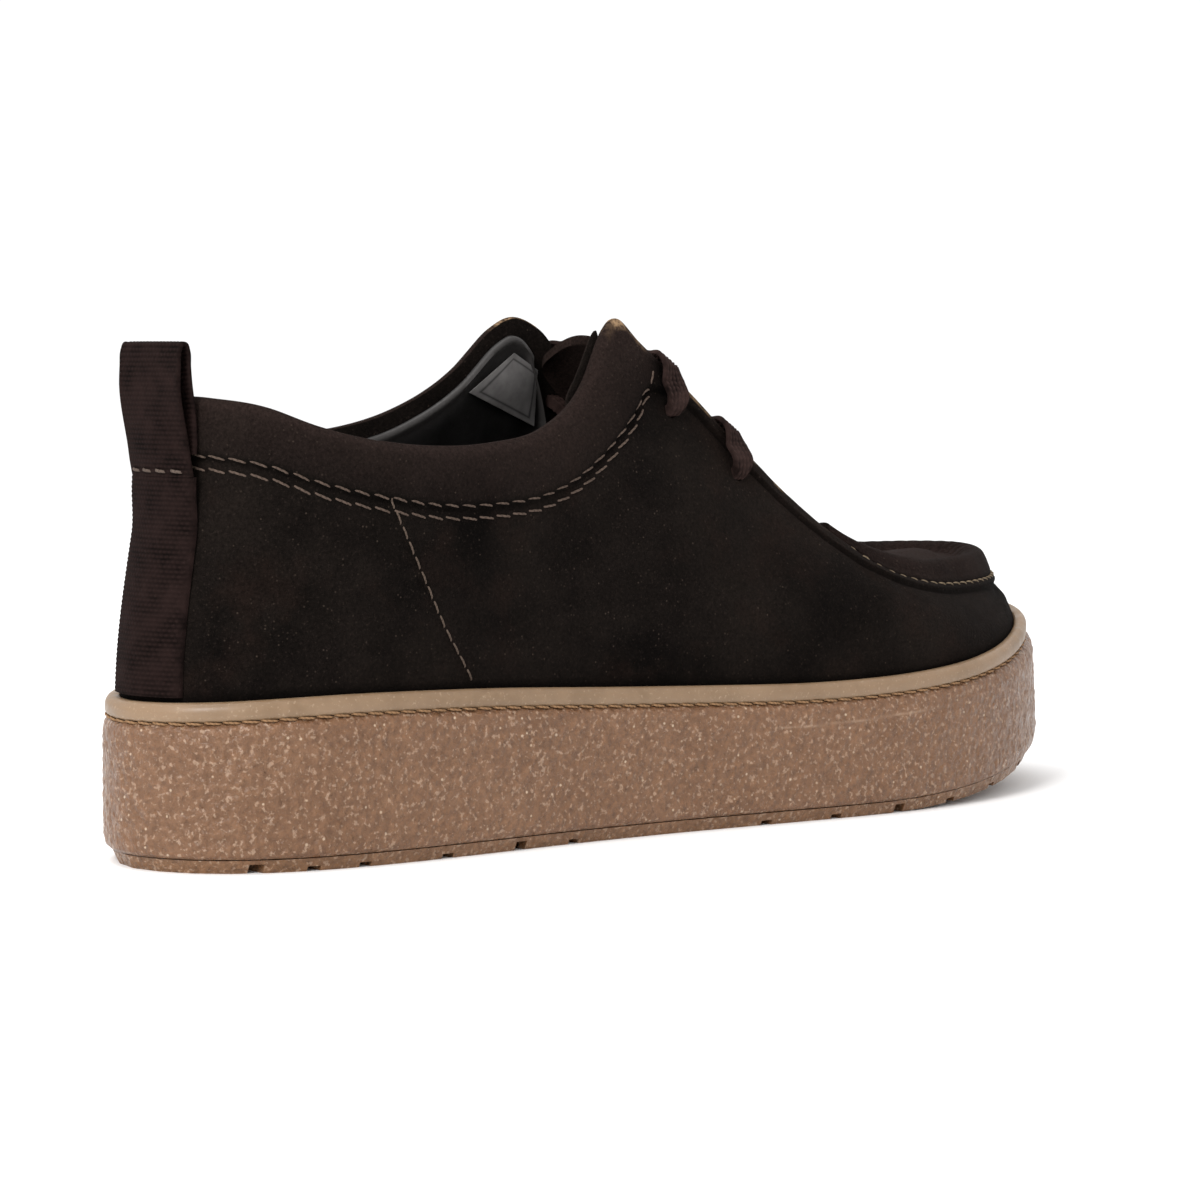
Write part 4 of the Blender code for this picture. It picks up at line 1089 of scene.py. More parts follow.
@dataclass(frozen=True)
class SmoothRubber(Finish):
    """Smooth moulded crepe rubber: satin, cloudy, with fine grit in its skin."""

    name: str = "smooth_rubber"
    dark: Color = (0.180, 0.113, 0.062)
    light: Color = (0.226, 0.146, 0.085)
    grit: Color = (0.40, 0.30, 0.21)

    def build(self) -> bpy.types.Material:
        """Build the smooth rubber's nodes.

        Returns:
            The material.
        """
        make = Nodes(self.name, 0.44, 0.42)
        make.shader.inputs["Subsurface Weight"].default_value = 0.10
        make.shader.inputs["Subsurface Radius"].default_value = (1.0, 0.6, 0.35)
        make.shader.inputs["Subsurface Scale"].default_value = 0.0012
        clouds = make.grain(48.0, 4.0, 0.62)
        grit = make.grain(1300.0, 2.0, 0.6)
        patch = make.grain(260.0, 3.0, 0.55)
        base = make.fade(clouds, 0.38, 0.62, self.dark, self.light)
        base = make.lay(base, self.light, patch, 0.46, 0.66, 0.55)
        base = make.lay(base, self.grit, grit, 0.60, 0.72, 0.42)
        normal = make.bump(patch, 0.25, 0.00030)
        normal = make.bump(grit, 0.20, 0.00016, normal)
        return make.wear(base, normal, make.span(patch, 0.3, 0.7, 0.34, 0.54))


@dataclass(frozen=True)
class Webbing(Finish):
    """Ribbed webbing or braid of dull, dark yarn. The ribs are in the mesh, and a mark paints their raised
    tops lighter: painted highlight.
    """

    name: str = "webbing"
    dark: Color = (0.0022, 0.0012, 0.0010)
    light: Color = (0.0160, 0.0088, 0.0078)
    fuzz: Color = (0.040, 0.026, 0.023)

    def build(self) -> bpy.types.Material:
        """Build the yarn's nodes.

        Returns:
            The material.
        """
        make = Nodes(self.name, 0.86, 0.04)
        clouds = make.grain(160.0, 3.0, 0.6)
        yarn = make.grain(1.0, 3.0, 0.7, make.stretch(2600.0, 2600.0, 900.0))
        base = make.fade(clouds, 0.30, 0.72, self.dark, self.light)
        # The rib mark lays the light colour on the raised yarn and leaves the grooves dark: painted highlight
        # and shade.
        base = make.lay(base, self.light, make.mark("rib"), 0.0, 1.0, 0.85)
        base = make.lay(base, self.fuzz, yarn, 0.60, 0.76, 0.32)
        return make.wear(base, make.bump(yarn, 0.5, 0.00020))


@dataclass(frozen=True)
class Thread(Finish):
    """Twisted sewing thread."""

    name: str
    color: Color
    shade: float = 0.45

    def build(self) -> bpy.types.Material:
        """Build the thread's nodes.

        Returns:
            The material.
        """
        make = Nodes(self.name, 0.78, 0.10)
        dark = tuple(self.shade * channel for channel in self.color)
        ply = make.mark("ply")
        wander = make.grain(420.0, 2.0, 0.6)
        # The ply mark darkens the grooves between the twisted plies: painted shade. The wander noise lays the
        # same dark colour at random.
        base = make.ramp(ply, ((0.0, dark), (0.55, self.color), (1.0, self.color)))
        base = make.lay(base, dark, wander, 0.35, 0.75, 0.45)
        return make.wear(base, make.bump(ply, 0.5, 0.00015))


@dataclass(frozen=True)
class LiningLeather(Finish):
    """Soft, slightly glossy lining leather with a fine pebble and shallow wrinkles."""

    name: str = "lining_leather"
    dark: Color = (0.0030, 0.0028, 0.0027)
    light: Color = (0.0110, 0.0103, 0.0100)
    edge: Color = (0.0420, 0.0385, 0.0370)

    def build(self) -> bpy.types.Material:
        """Build the lining's nodes.

        Returns:
            The material.
        """
        make = Nodes(self.name, 0.46, 0.22)
        clouds = make.grain(60.0, 3.0, 0.6)
        pebble = make.cells(1150.0, "SMOOTH_F1", "Distance")
        wrinkle = make.grain(1.0, 3.0, 0.55, make.stretch(120.0, 190.0, 70.0))
        base = make.fade(clouds, 0.32, 0.70, self.dark, self.light)
        base = make.lay(base, self.light, wrinkle, 0.55, 0.72, 0.35)
        # The lining's colours are darkened towards the shade deep in the shoe, and the bead mark lays the
        # much lighter edge colour on the rolled edge: painted shade and painted highlight.
        base = make.mix(make.mark("bead"), base, self.edge)
        normal = make.bump(wrinkle, 0.35, 0.0008)
        normal = make.bump(pebble, 0.35, 0.00022, normal)
        return make.wear(base, normal, make.span(wrinkle, 0.3, 0.7, 0.36, 0.52))


@dataclass(frozen=True)
class LabelFilm(Finish):
    """Matt grey heat-set film, blank but for its ruled frame, which is in the mesh's marks."""

    name: str = "label_film"
    dark: Color = (0.120, 0.113, 0.110)
    light: Color = (0.180, 0.171, 0.166)
    ink: Color = (0.012, 0.011, 0.011)

    def build(self) -> bpy.types.Material:
        """Build the film's nodes.

        Returns:
            The material.
        """
        make = Nodes(self.name, 0.62, 0.35)
        cloud = make.grain(240.0, 3.0, 0.6)
        base = make.fade(cloud, 0.3, 0.7, self.dark, self.light)
        base = make.mix(make.mark("ink"), base, self.ink)
        return make.wear(base, make.bump(cloud, 0.15, 0.0002))


@dataclass(frozen=True)
class Backdrop(Finish):
    """The studio's matt, pale floor."""

    name: str = "studio_floor"

    def build(self) -> bpy.types.Material:
        """Build the floor's nodes.

        Returns:
            The material.
        """
        make = Nodes(self.name, 0.9, 0.1)
        make.shader.inputs["Base Color"].default_value = (0.97, 0.97, 0.97, 1.0)
        return make.wear(None, None)


@dataclass
class Crease:
    """A soft trough (depth above 0) or ridge (below 0) in the upper, between two places on its wall."""

    start: tuple[float, float]
    end: tuple[float, float]
    width: float
    depth: float

    def relief(self, turn: Array, rise: Array, around_size: float, wall_size: float) -> Array:
        """Return how far the crease moves each place outward.

        Args:
            turn: Places round the shoe.
            rise: Places up the wall.
            around_size: Length of one turn round the shoe.
            wall_size: Height of the wall.

        Returns:
            Outward moves in metres.
        """
        size = np.array((around_size, wall_size))
        place = np.stack((turn, rise), axis=-1) * size
        one, two = np.array(self.start) * size, np.array(self.end) * size
        along = two - one
        share = np.clip(((place - one) @ along) / (along @ along), 0.0, 1.0)
        off = np.linalg.norm(place - one - share[..., None] * along, axis=-1)
        return -self.depth * hill(off, 0.0, self.width)


@dataclass
class Stitching:
    """Rows of sewing stitches, each a short plump pad of twisted thread that dips in at both ends."""

    finish: Finish
    pitch: float = 0.0050
    length: float = 0.0040
    radius: float = 0.00042
    proud: float = 0.00030
    dip: float = 0.00070
    slant: float = 0.0
    plies: float = 3.0
    rings: int = 9
    sides: int = 8

    def add_row(self, shape: Shape, line: Array, normals: Array) -> None:
        """Add one row of stitches.

        Args:
            shape: Shape that takes the stitches.
            line: Points of the seam on the surface, close together.
            normals: Outward direction at each point of the line.
        """
        run = run_lengths(line)
        count = max(1, int(run[-1] / self.pitch))
        for i in range(count):
            middle = (i + 0.5) * run[-1] / count
            spread = np.linspace(-0.5, 0.5, self.rings)
            at = middle + spread * self.length
            centre = np.column_stack([np.interp(at, run, line[:, axis]) for axis in range(3)])
            normal = unit(np.column_stack([np.interp(at, run, normals[:, axis]) for axis in range(3)]))
            along = unit(np.gradient(centre, axis=0))
            side = unit(np.cross(along, normal))
            hump = 1.0 - (2 * np.abs(spread)) ** 3
            lift = (self.proud + self.dip) * hump - self.dip
            centre = centre + normal * lift[:, None] + side * (self.slant * spread * 2)[:, None]
            thick = self.radius * (0.62 + 0.38 * np.sqrt(np.maximum(0.0, hump)))
            self.add_tube(shape, centre, side, normal, thick, spread)

    def add_tube(self, shape: Shape, centre: Array, side: Array, normal: Array, thick: Array,
                 spread: Array) -> None:
        """Add one stitch as a short tube with its ply marks and closed ends.

        Args:
            shape: Shape that takes the stitch.
            centre: Middle of each ring.
            side: Sideways direction of each ring.
            normal: Outward direction of each ring.
            thick: Radius of each ring.
            spread: Place of each ring along the stitch, from -0.5 to 0.5.
        """
        angles = np.arange(self.sides) * 2 * math.pi / self.sides
        round_way = (np.cos(angles)[None, :, None] * side[:, None, :]
                     + 0.82 * np.sin(angles)[None, :, None] * normal[:, None, :])
        ply = 0.5 + 0.5 * np.sin(angles[None, :] + 2 * math.pi * self.plies * spread[:, None])
        grid = centre[:, None, :] + round_way * (thick[:, None] * (0.90 + 0.14 * ply))[:, :, None]
        index = shape.add_grid(grid, wrap_columns=True, ply=ply)
        shape.cap(index[0][::-1])
        shape.cap(index[-1])


@dataclass
class CrepeSole:
    """The crepe cup with its crumbed wall, the smooth rim band, the stitched groove and the footbed."""

    last: Last
    stations: int = 900
    wall_rows: int = 40
    tread_thickness: float = 0.0035
    tread_top_inset: float = 0.0016
    edge_round: float = 0.0004
    foot_round: float = 0.0030
    shoulder: float = 0.0040
    groove_inset: float = 0.0015
    band_swell: float = 0.0009
    band_round: float = 0.0016
    insole_thickness: float = 0.0040
    insole_dish: float = 0.0015
    foot_place: float = 0.055
    shoulder_place: float = 0.86
    crumb_span: Window = (0.02, 0.08, 0.90, 0.985)
    crumb_size: float = 0.0024
    crumb_relief: float = 0.00032
    wave_size: float = 0.0038
    wave_relief: float = 0.00026
    line_relief: float = 0.00012
    line_width: float = 0.0085
    line_span: Window = (0.012, 0.022, 0.062, 0.074)
    line_place: float = 0.775
    line_climb: float = 0.055
    line_strength: float = 0.55
    thread_sink: float = 0.00055
    # Rows of the footbed's edge: inset, and fall below its top.
    footbed_rows: tuple[tuple[float, float], ...] = ((0.0, 0.0012), (0.0004, 0.0004), (0.0013, 0.0))
    band_stations: int = 700
    band_wave_size: float = 0.013
    band_wave_relief: float = 0.00012
    groove_stations: int = 1401
    footbed_stations: int = 300
    footbed_gap: float = 0.0003

    def build(self, tread: bpy.types.Object) -> None:
        """Build and dress every piece of the sole.

        Args:
            tread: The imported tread, which is kept and only gets a finish.
        """
        self.build_cup()
        self.build_band()
        self.build_stitching()
        self.build_footbed()
        self.dress_tread(tread)

    def turns(self, count: int) -> Array:
        """Return evenly spaced turns round the shoe."""
        return np.linspace(0.0, 2.0, count, endpoint=False)

    def underside(self, y: Array) -> Array:
        """Height of the cup's underside."""
        return self.last.spring(y) + self.tread_thickness

    def build_cup(self) -> None:
        """Build the crepe cup, whose wall carries the crumb relief."""
        last = self.last
        turns = self.turns(self.stations)
        knots = (
            (self.edge_round, lambda y: self.underside(y) + 0.27 * self.foot_round, 0.0),
            (0.0, lambda y: self.underside(y) + self.foot_round, 0.0),
            (0.0, lambda y: last.groove(y) - self.shoulder, 0.45),
            (self.edge_round, lambda y: last.groove(y) - 0.35 * self.shoulder, 0.75),
            (self.groove_inset, last.groove, 1.0),
        )
        stack = np.stack([last.ring(turns, inset, height, lean) for inset, height, lean in knots])
        places = np.array((0.0, self.foot_place, self.shoulder_place, 0.95, 1.0))
        wanted = np.concatenate((
            np.linspace(0.0, self.foot_place, 5)[:-1],
            np.linspace(self.foot_place, self.shoulder_place, self.wall_rows)[:-1],
            np.linspace(self.shoulder_place, 1.0, 9),
        ))
        wall = self.blend_rings(places, stack, wanted)
        away = last.away(turns)
        flat = wall.reshape(-1, 3)
        grains = crumbs(flat, self.crumb_size, 3.0)
        waves = ripple(flat, self.wave_size, 7.0, 3)
        rise = wanted[:, None] * np.ones(len(turns))
        share = window(rise, *self.crumb_span)
        relief = (self.crumb_relief * (grains - 0.35) + self.wave_relief * waves).reshape(rise.shape) * share
        # This mark is painted shade in the gaps between crumbs.
        pit = (smooth(0.30 - grains, 0.0, 0.28)).reshape(rise.shape) * share
        line = self.mould_line(wall, rise)
        relief = relief + self.line_relief * line
        wall = wall + away[None, :, :] * relief[:, :, None]
        shape = Shape()
        low = last.ring(turns, self.tread_top_inset - last.clearance, self.underside, 0.0)[None]
        ledge = np.stack([
            last.ring(turns, last.cup_wall, last.groove),
            last.ring(turns, last.cup_wall, last.cup_floor),
        ])
        none = np.zeros((1, len(turns)))
        ledge_none = np.zeros((2, len(turns)))
        index = shape.add_grid(np.concatenate((low, wall, ledge)),
                               pit=np.concatenate((none, pit, ledge_none)),
                               line=np.concatenate((none, line, ledge_none)), wrap_columns=True)
        self.add_deck(shape, index[0])
        self.add_deck(shape, index[-1])
        shape.make("crepe_cup", CrumbCrepe(), Slot.MIDSOLE, ("midsole",))

    def mould_line(self, wall: Array, rise: Array) -> Array:
        """Return where the faint raised mould line runs along the lateral side of the toe.

        Args:
            wall: Points of the wall.
            rise: Place of each row up the wall.

        Returns:
            Strength of the line at each point.
        """
        y = wall[:, :, 1]
        on = window(-y, *self.line_span) * (wall[:, :, 0] < 0)
        broken = 0.45 + 0.55 * smooth(np.sin(y * 900.0) + np.sin(y * 410.0 + 1.0), -0.9, 0.3)
        centre = self.line_place + self.line_climb * smooth(-y, 0.01, 0.075)
        return on * broken * hill(rise, centre, self.line_width) * self.line_strength

    def blend_rings(self, places: Array, stack: Array, wanted: Array) -> Array:
        """Read smooth rings between a few given ones.

        Args:
            places: Rising place of each given ring.
            stack: The given rings.
            wanted: Places to read.

        Returns:
            The rings there.
        """
        rings = []
        for place in wanted:
            i = int(np.clip(np.searchsorted(places, place, side="right") - 1, 0, len(places) - 2))
            share = (place - places[i]) / (places[i + 1] - places[i])
            rings.append(stack[i] * (1 - share) + stack[i + 1] * share)
        return np.stack(rings)

    def add_deck(self, shape: Shape, ring: Array, columns: int = 3) -> None:
        """Close a ring of point indices with rows of quads across it.

        Args:
            shape: Shape that takes the quads.
            ring: Point indices of the ring.
            columns: Quads in a row.
        """
        points = np.vstack(shape.points)
        count = len(ring)
        rows = []
        for row in range(count // 2 + 1):
            one, two = int(ring[row]), int(ring[(count - row) % count])
            inner = []
            if one != two:
                shares = np.arange(1, columns)[:, None] / columns
                first = shape.add_points(points[one] * (1 - shares) + points[two] * shares)
                inner = list(range(first, first + columns - 1))
            rows.append([one, *inner, two] if one != two else [one])
        for one_row, two_row in zip(rows, rows[1:]):
            if len(one_row) == 1 or len(two_row) == 1:
                tip, line = (one_row, two_row) if len(one_row) == 1 else (two_row, one_row)
                for i in range(len(line) - 1):
                    shape.cap((tip[0], line[i], line[i + 1]))
            else:
                shape.join(np.array(one_row), np.array(two_row))

    def build_band(self) -> None:
        """Build the smooth rim band with its rounded lip."""
        last = self.last
        turns = self.turns(self.band_stations)
        swell = self.groove_inset - self.band_swell
        profile = (
            (self.groove_inset + 0.0003, 0.00), (swell + 0.0004, 0.05), (swell + 0.00005, 0.16),
            (swell, 0.30), (swell, 0.50), (swell + 0.0001, 0.64), (swell + 0.00035, 0.78),
            (swell + 0.0008, 0.91), (swell + 0.0013, 0.985), (swell + self.band_round + 0.0003, 1.0),
            (last.cup_wall - 0.0004, 0.985), (last.cup_wall, 0.93), (last.cup_wall, 0.45),
            (last.cup_wall, 0.0),
        )
        rings = []
        for inset, share in profile:
            rings.append(last.ring(turns, inset, lambda y, share=share: last.groove(y) + last.clearance
                                   + share * (last.rim_band_height - last.clearance)))
        grid = np.stack(rings)
        away = last.away(turns)
        soft = ripple(grid[4], self.band_wave_size, 5.0) * self.band_wave_relief
        grid[2:9] += away[None] * soft[None, :, None]
        shape = Shape()
        shape.add_grid(grid, wrap_rows=True, wrap_columns=True)
        shape.make("rim_band_smooth", SmoothRubber(), Slot.RIM_BAND, ("rim_band",))

    def build_stitching(self) -> None:
        """Lay the twisted stitches in the groove between the cup's wall and the band."""
        last = self.last
        turns = np.linspace(0.0, 2.0, self.groove_stations)
        inset = self.groove_inset - self.thread_sink
        line = last.ring(turns, inset, lambda y: last.groove(y) + 0.5 * last.clearance)
        normals = last.away(turns)
        finish = Thread("welt_thread", (0.270, 0.155, 0.080), 0.50)
        stitching = Stitching(finish, pitch=0.0044, length=0.0042, radius=0.00030, proud=0.00016,
                              dip=0.00050, slant=0.00018, plies=3.5, rings=13)
        shape = Shape()
        stitching.add_row(shape, line, normals)
        shape.make("welt_stitches", finish, Slot.RIM_BAND)

    def build_footbed(self) -> None:
        """Build the footbed with its dished top and rounded edge."""
        last = self.last
        turns = self.turns(self.footbed_stations)
        inset = last.cup_wall + last.clearance + last.upper_wall + last.clearance + self.footbed_gap
        thick = self.insole_thickness
        rings = [last.ring(turns, inset, lambda y: last.cup_floor(y) + last.clearance)]
        for more, fall in self.footbed_rows:
            rings.append(last.ring(turns, inset + more,
                                   lambda y, fall=fall: last.cup_floor(y) + thick - fall))
        shape = Shape()
        index = shape.add_grid(np.stack(rings), wrap_columns=True)
        self.add_deck(shape, index[0])
        self.add_dished_deck(shape, index[-1], rings[-1])
        finish = LiningLeather("footbed_leather", (0.010, 0.0095, 0.009), (0.026, 0.0245, 0.023))
        shape.make("footbed", finish, Slot.INSOLE, ("insole",))

    def add_dished_deck(self, shape: Shape, ring: Array, points: Array, columns: int = 16) -> None:
        """Close the footbed's top with a shallow dish.

        Args:
            shape: Shape that takes the dish.
            ring: Point indices of its rim.
            points: Points of its rim.
            columns: Quads in a row.
        """
        half = len(ring) // 2
        rows = np.arange(1, half)
        one, two = points[rows], points[len(ring) - rows]
        shares = np.arange(1, columns) / columns
        grid = one[:, None, :] * (1 - shares)[None, :, None] + two[:, None, :] * shares[None, :, None]
        grid[:, :, 2] -= self.insole_dish * (4 * shares * (1 - shares))[None, :]
        inner = shape.add_grid(grid)
        rims = np.column_stack((ring[rows], inner, ring[len(ring) - rows]))
        for i in range(len(rims) - 1):
            shape.join(rims[i, :2], rims[i + 1, :2])
            shape.join(rims[i, -2:], rims[i + 1, -2:])
        for tip, line in ((ring[0], rims[0]), (ring[half], rims[-1])):
            for i in range(len(line) - 1):
                shape.cap((tip, line[i], line[i + 1]))

    def dress_tread(self, tread: bpy.types.Object) -> None:
        """Give the tread's own solid its finish.

        Args:
            tread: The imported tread.
        """
        finish = CrumbCrepe("tread_crepe", (0.160, 0.081, 0.038), (0.188, 0.097, 0.048))
        for slot in tread.material_slots:
            slot.material = finish.material()


@dataclass
class SuedeUpper:
    """The suede upper: wall, padded collar, flap tips, facings, toe seam lip, seams and creases."""

    last: Last
    stations: int = 760
    low_rows: int = 46
    band_rows: int = 24
    roll_rows: int = 7
    inner_rows: int = 22
    collar_pad: float = 0.0012
    step_ramp: float = 0.0014
    seam_step: float = 0.009
    pad_step: float = 0.015
    pad_puff: float = 0.00045
    hole_radius: float = 0.0020
    pad_least: float = 0.008
    pad_round: float = 0.0034
    lip_round: float = 0.0016
    groove_depth: float = 0.00030
    band_gap: float = 0.0022
    # Each wave: height, size and seed.
    waves: tuple[Place, ...] = ((0.00035, 0.030, 2.0), (0.00010, 0.009, 4.0))
    plug_cover: tuple[float, float] = (0.0018, 0.0031)
    tip_highlight_depth: tuple[float, float] = (0.0013, 0.0027)
    tip_raw: Window = (0.425, 0.437, 0.462, 0.476)
    facing_raw: Window = (0.47, 0.49, 0.60, 0.64)
    sewn_turns: tuple[float, float] = (0.036, 0.4765)
    upper_row: float = 0.0005
    lower_row: float = 0.0036
    row_end: float = 0.0055
    lower_row_end: float = 0.4745
    punch_reach: float = 0.006
    around_size: float = 0.37
    wall_size: float = 0.060
    panel_step: float = 0.00042
    # Y and Z places of the slanted seam, from its top down.
    panel_seam: tuple[tuple[float, float], ...] = (
        (0.0980, 0.0862), (0.0895, 0.0681), (0.0825, 0.0548), (0.0738, 0.0417))
    # Each crease: turn and rise of both ends, width, and depth.
    creases: tuple[Crease, ...] = (
        Crease((0.60, 0.20), (0.66, 0.72), 0.0055, 0.00075),
        Crease((0.66, 0.22), (0.70, 0.62), 0.0050, 0.00065),
        Crease((0.63, 0.30), (0.68, 0.66), 0.0050, -0.00045),
        Crease((0.49, 0.30), (0.56, 0.62), 0.0085, 0.00055),
        Crease((0.40, 0.35), (0.50, 0.55), 0.0090, -0.00055),
        Crease((0.78, 0.35), (0.88, 0.52), 0.0050, 0.00050),
        Crease((0.86, 0.30), (0.99, 0.44), 0.0045, -0.00030),
        Crease((0.10, 0.10), (0.12, 0.62), 0.0100, 0.00070),
        Crease((0.18, 0.20), (0.21, 0.70), 0.0110, -0.00060),
        Crease((0.31, 0.22), (0.36, 0.52), 0.0100, 0.00055),
        Crease((1.34, 0.22), (1.30, 0.66), 0.0055, 0.00075),
        Crease((1.39, 0.20), (1.36, 0.70), 0.0055, 0.00055),
        Crease((1.50, 0.30), (1.45, 0.62), 0.0085, 0.00050),
        Crease((1.62, 0.30), (1.52, 0.52), 0.0090, -0.00050),
        Crease((1.15, 0.35), (1.24, 0.50), 0.0050, 0.00050),
        Crease((1.02, 0.42), (1.12, 0.34), 0.0045, -0.00035),
        Crease((1.88, 0.12), (1.90, 0.60), 0.0100, 0.00070),
        Crease((1.78, 0.20), (1.80, 0.66), 0.0110, -0.00050),
    )

    def build(self) -> None:
        """Build the suede shell and its seams."""
        self.build_shell()
        self.build_collar_stitches()
        self.build_panel_stitches()

    def panel_line(self, side: Side) -> tuple[Array, Array]:
        """Return the turns and rises of the slanted panel seam on one side.

        Args:
            side: Side of the shoe.

        Returns:
            The turns and the rises.
        """
        places = np.array([self.last.locate(side, y, z) for y, z in self.panel_seam])
        shares = np.linspace(0.0, len(places) - 1, 60)
        knots = np.arange(len(places), dtype=float)
        line = hermite(knots, places, shares)
        return line[:, 0], np.clip(line[:, 1], 0.0, 1.0)

    def panel_relief(self, turn: Array, rise: Array) -> Array:
        """Return the small step where the front panel lies over the heel panel.

        Args:
            turn: Places round the shoe.
            rise: Place up the wall of each.

        Returns:
            Outward moves in metres.
        """
        relief = np.zeros_like(turn)
        for side in Side:
            seam_turn, seam_rise = self.panel_line(side)
            order = np.argsort(seam_rise)
            at = np.interp(rise, seam_rise[order], seam_turn[order])
            ahead = (turn - at) * (1.0 if side is Side.LATERAL else -1.0)
            near = turn < 1.0 if side is Side.LATERAL else turn > 1.0
            size = 0.36 * ahead
            step = smooth(size, -0.0011, -0.0004) * np.exp(-np.maximum(size, 0.0) / 0.012)
            trough = -0.5 * hill(size, -0.0014, 0.0009)
            relief += near * self.panel_step * (step + trough)
        return relief

    def relief(self, turn: Array, rise: Array) -> Array:
        """Return how far creases, soft waves and seams move the outer face out.

        Args:
            turn: Places round the shoe.
            rise: Place up the wall of each.

        Returns:
            Outward moves in metres.
        """
        total = np.zeros_like(turn)
        for crease in self.creases:
            total += crease.relief(turn, rise, self.around_size, self.wall_size)
        points = self.last.skin(turn, rise)
        total += sum(height * ripple(points, size, seed) for height, size, seed in self.waves)
        fade = smooth(rise, 0.0, 0.12)
        return total * fade + self.panel_relief(turn, rise) * smooth(rise, 0.0, 0.03)

    def depth_profile(self, depth: Array, band: Array, step: Array, hang: Array) -> Array:
        """Return the height of the collar pad or seam lip over the wall.

        Args:
            depth: Distance below the top edge.
            band: Depth of the pad or lip there.
            step: Height of the pad or lip there.
            hang: Share of the plug's roll that hangs over the edge there.

        Returns:
            Outward heights.
        """
        foot = smooth(band + self.step_ramp - depth, 0.0, self.step_ramp)
        round_size = np.where(band > self.pad_least, self.pad_round, self.lip_round)
        near = np.clip(1 - depth / round_size, 0.0, 1.0)
        shoulder = 0.25 + 0.75 * np.sqrt(np.maximum(0.0, 1 - near ** 2))
        puff = self.pad_puff * np.sin(np.pi * np.clip(depth / band, 0.0, 1.0)) * (band > self.pad_least)
        seam = hill(depth - band, 0.0010, 0.0007) * self.groove_depth
        covered = hang * (1.0 - smooth(depth, *self.plug_cover))
        return (step * (1 + 0.35 * hang) * foot * shoulder + puff) * (1 - covered) - seam

    def face(self, turn: Array, depth: Array, rise: Array) -> tuple[Array, Array]:
        """Return points and normals of the finished outer face.

        Args:
            turn: Places round the shoe.
            depth: Distance of each place below the top edge.
            rise: Rise of each place.

        Returns:
            The points and the outward normals.
        """
        last = self.last
        band = last.ball_width * last.section("band", turn)
        step = last.ball_width * last.section("step", turn)
        normal = last.normal(turn, rise)
        hang = smooth(last.bridge("ridge", turn), 0.30, 0.85) * (np.abs(turn - 1.0) < 0.4)
        out = self.depth_profile(depth, band, step, hang) + self.relief(turn, rise)
        return last.skin(turn, rise) + normal * out[:, None], normal

    def build_shell(self) -> None:
        """Build the wall as one closed skin: outer face, rolled top edge and inner face."""
        last = self.last
        turns = np.linspace(0.0, 2.0, self.stations, endpoint=False)
        band = last.ball_width * last.section("band", turns)
        step = last.ball_width * last.section("step", turns)
        under = last.rise_below(turns, band + self.band_gap)
        wall = self.wall_lengths(turns)
        foot, _ = last.wall_base(turns)
        floor = foot.copy()
        floor[:, 2] = last.cup_floor(foot[:, 1]) + last.clearance
        rises = [share * under for share in np.linspace(0.0, 1.0, self.low_rows)]
        rises += [under + (1 - under) * share for share in np.linspace(0.0, 1.0, self.band_rows + 1)[1:]]
        outer = [floor]
        deep = [np.ones(len(turns))]
        nap = [np.zeros(len(turns))]
        to_front = smooth(np.minimum(turns, 2.0 - turns), 0.22, 0.42)
        for rise in rises:
            depth = self.depth_at(turns, rise, wall)
            points, _ = self.face(turns, depth, rise)
            outer.append(points)
            base_shade = 0.7 * (1.0 - smooth(rise, 0.0, 0.035))
            groove_shade = hill(depth - band, 0.0009, 0.0009) * 0.55
            deep.append(np.clip(base_shade + groove_shade, 0.0, 1.0))
            # The nap mark is lighter towards the pad's top, towards the front and along the rolled top edge:
            # partly brushed nap, partly painted light where the pad and edge face the light.
            on_pad = smooth(band - depth, -0.0004, 0.0010) * smooth(band, 0.007, 0.012)
            lip = (1.0 - smooth(depth, 0.0005, 0.0030)) * 0.5
            lit = (0.25 + 0.75 * (1 - depth / band)) * (0.70 + 0.30 * to_front)
            nap.append(np.clip(on_pad * lit + lip, 0.0, 1.0))
        inner = self.inner_rows_of(turns, under, step)
        roll = self.roll_over(turns, outer[-1], inner[0])
        grid = np.stack(outer + roll + inner)
        extra = len(roll) + len(inner)
        deep += [np.zeros(len(turns))] * extra
        # The roll over the edge keeps most of the top row's painted light; the inner face gets none.
        nap += [nap[-1] * 0.9] * len(roll) + [np.zeros(len(turns))] * len(inner)
        raw = np.zeros((len(grid), len(turns)))
        edge_raw = self.raw_edge(turns)
        raw[len(outer) - 1:len(outer) + len(roll)] = edge_raw[None, :]
        # The tan runs a little way down the outer face below the edge, where it stands in for the highlight
        # on the rolled edge: painted highlight.
        for row, rise in enumerate(rises[-8:-1]):
            depth = self.depth_at(turns, rise, wall)
            raw[len(outer) - 8 + row] = edge_raw * (1.0 - smooth(depth, *self.tip_highlight_depth))
        shape = Shape()
        shape.add_grid(grid, wrap_rows=True, wrap_columns=True,
                       deep=np.stack(deep), nap=np.stack(nap), raw=raw)
        item = shape.make("suede_upper", Suede(), Slot.UPPER, ("upper",))
        self.punch_holes(item)

    def wall_lengths(self, turns: Array) -> tuple[Array, Array]:
        """Return a table of run lengths down the wall at each turn, from the top edge.

        Args:
            turns: Places round the shoe.

        Returns:
            The rises of the rows, and the run at each of them.
        """
        steps = np.linspace(1.0, 0.0, 61)
        points = np.stack([self.last.skin(turns, step) for step in steps])
        run = np.cumsum(np.linalg.norm(np.diff(points, axis=0), axis=2), axis=0)
        return steps, np.vstack((np.zeros((1, len(turns))), run))

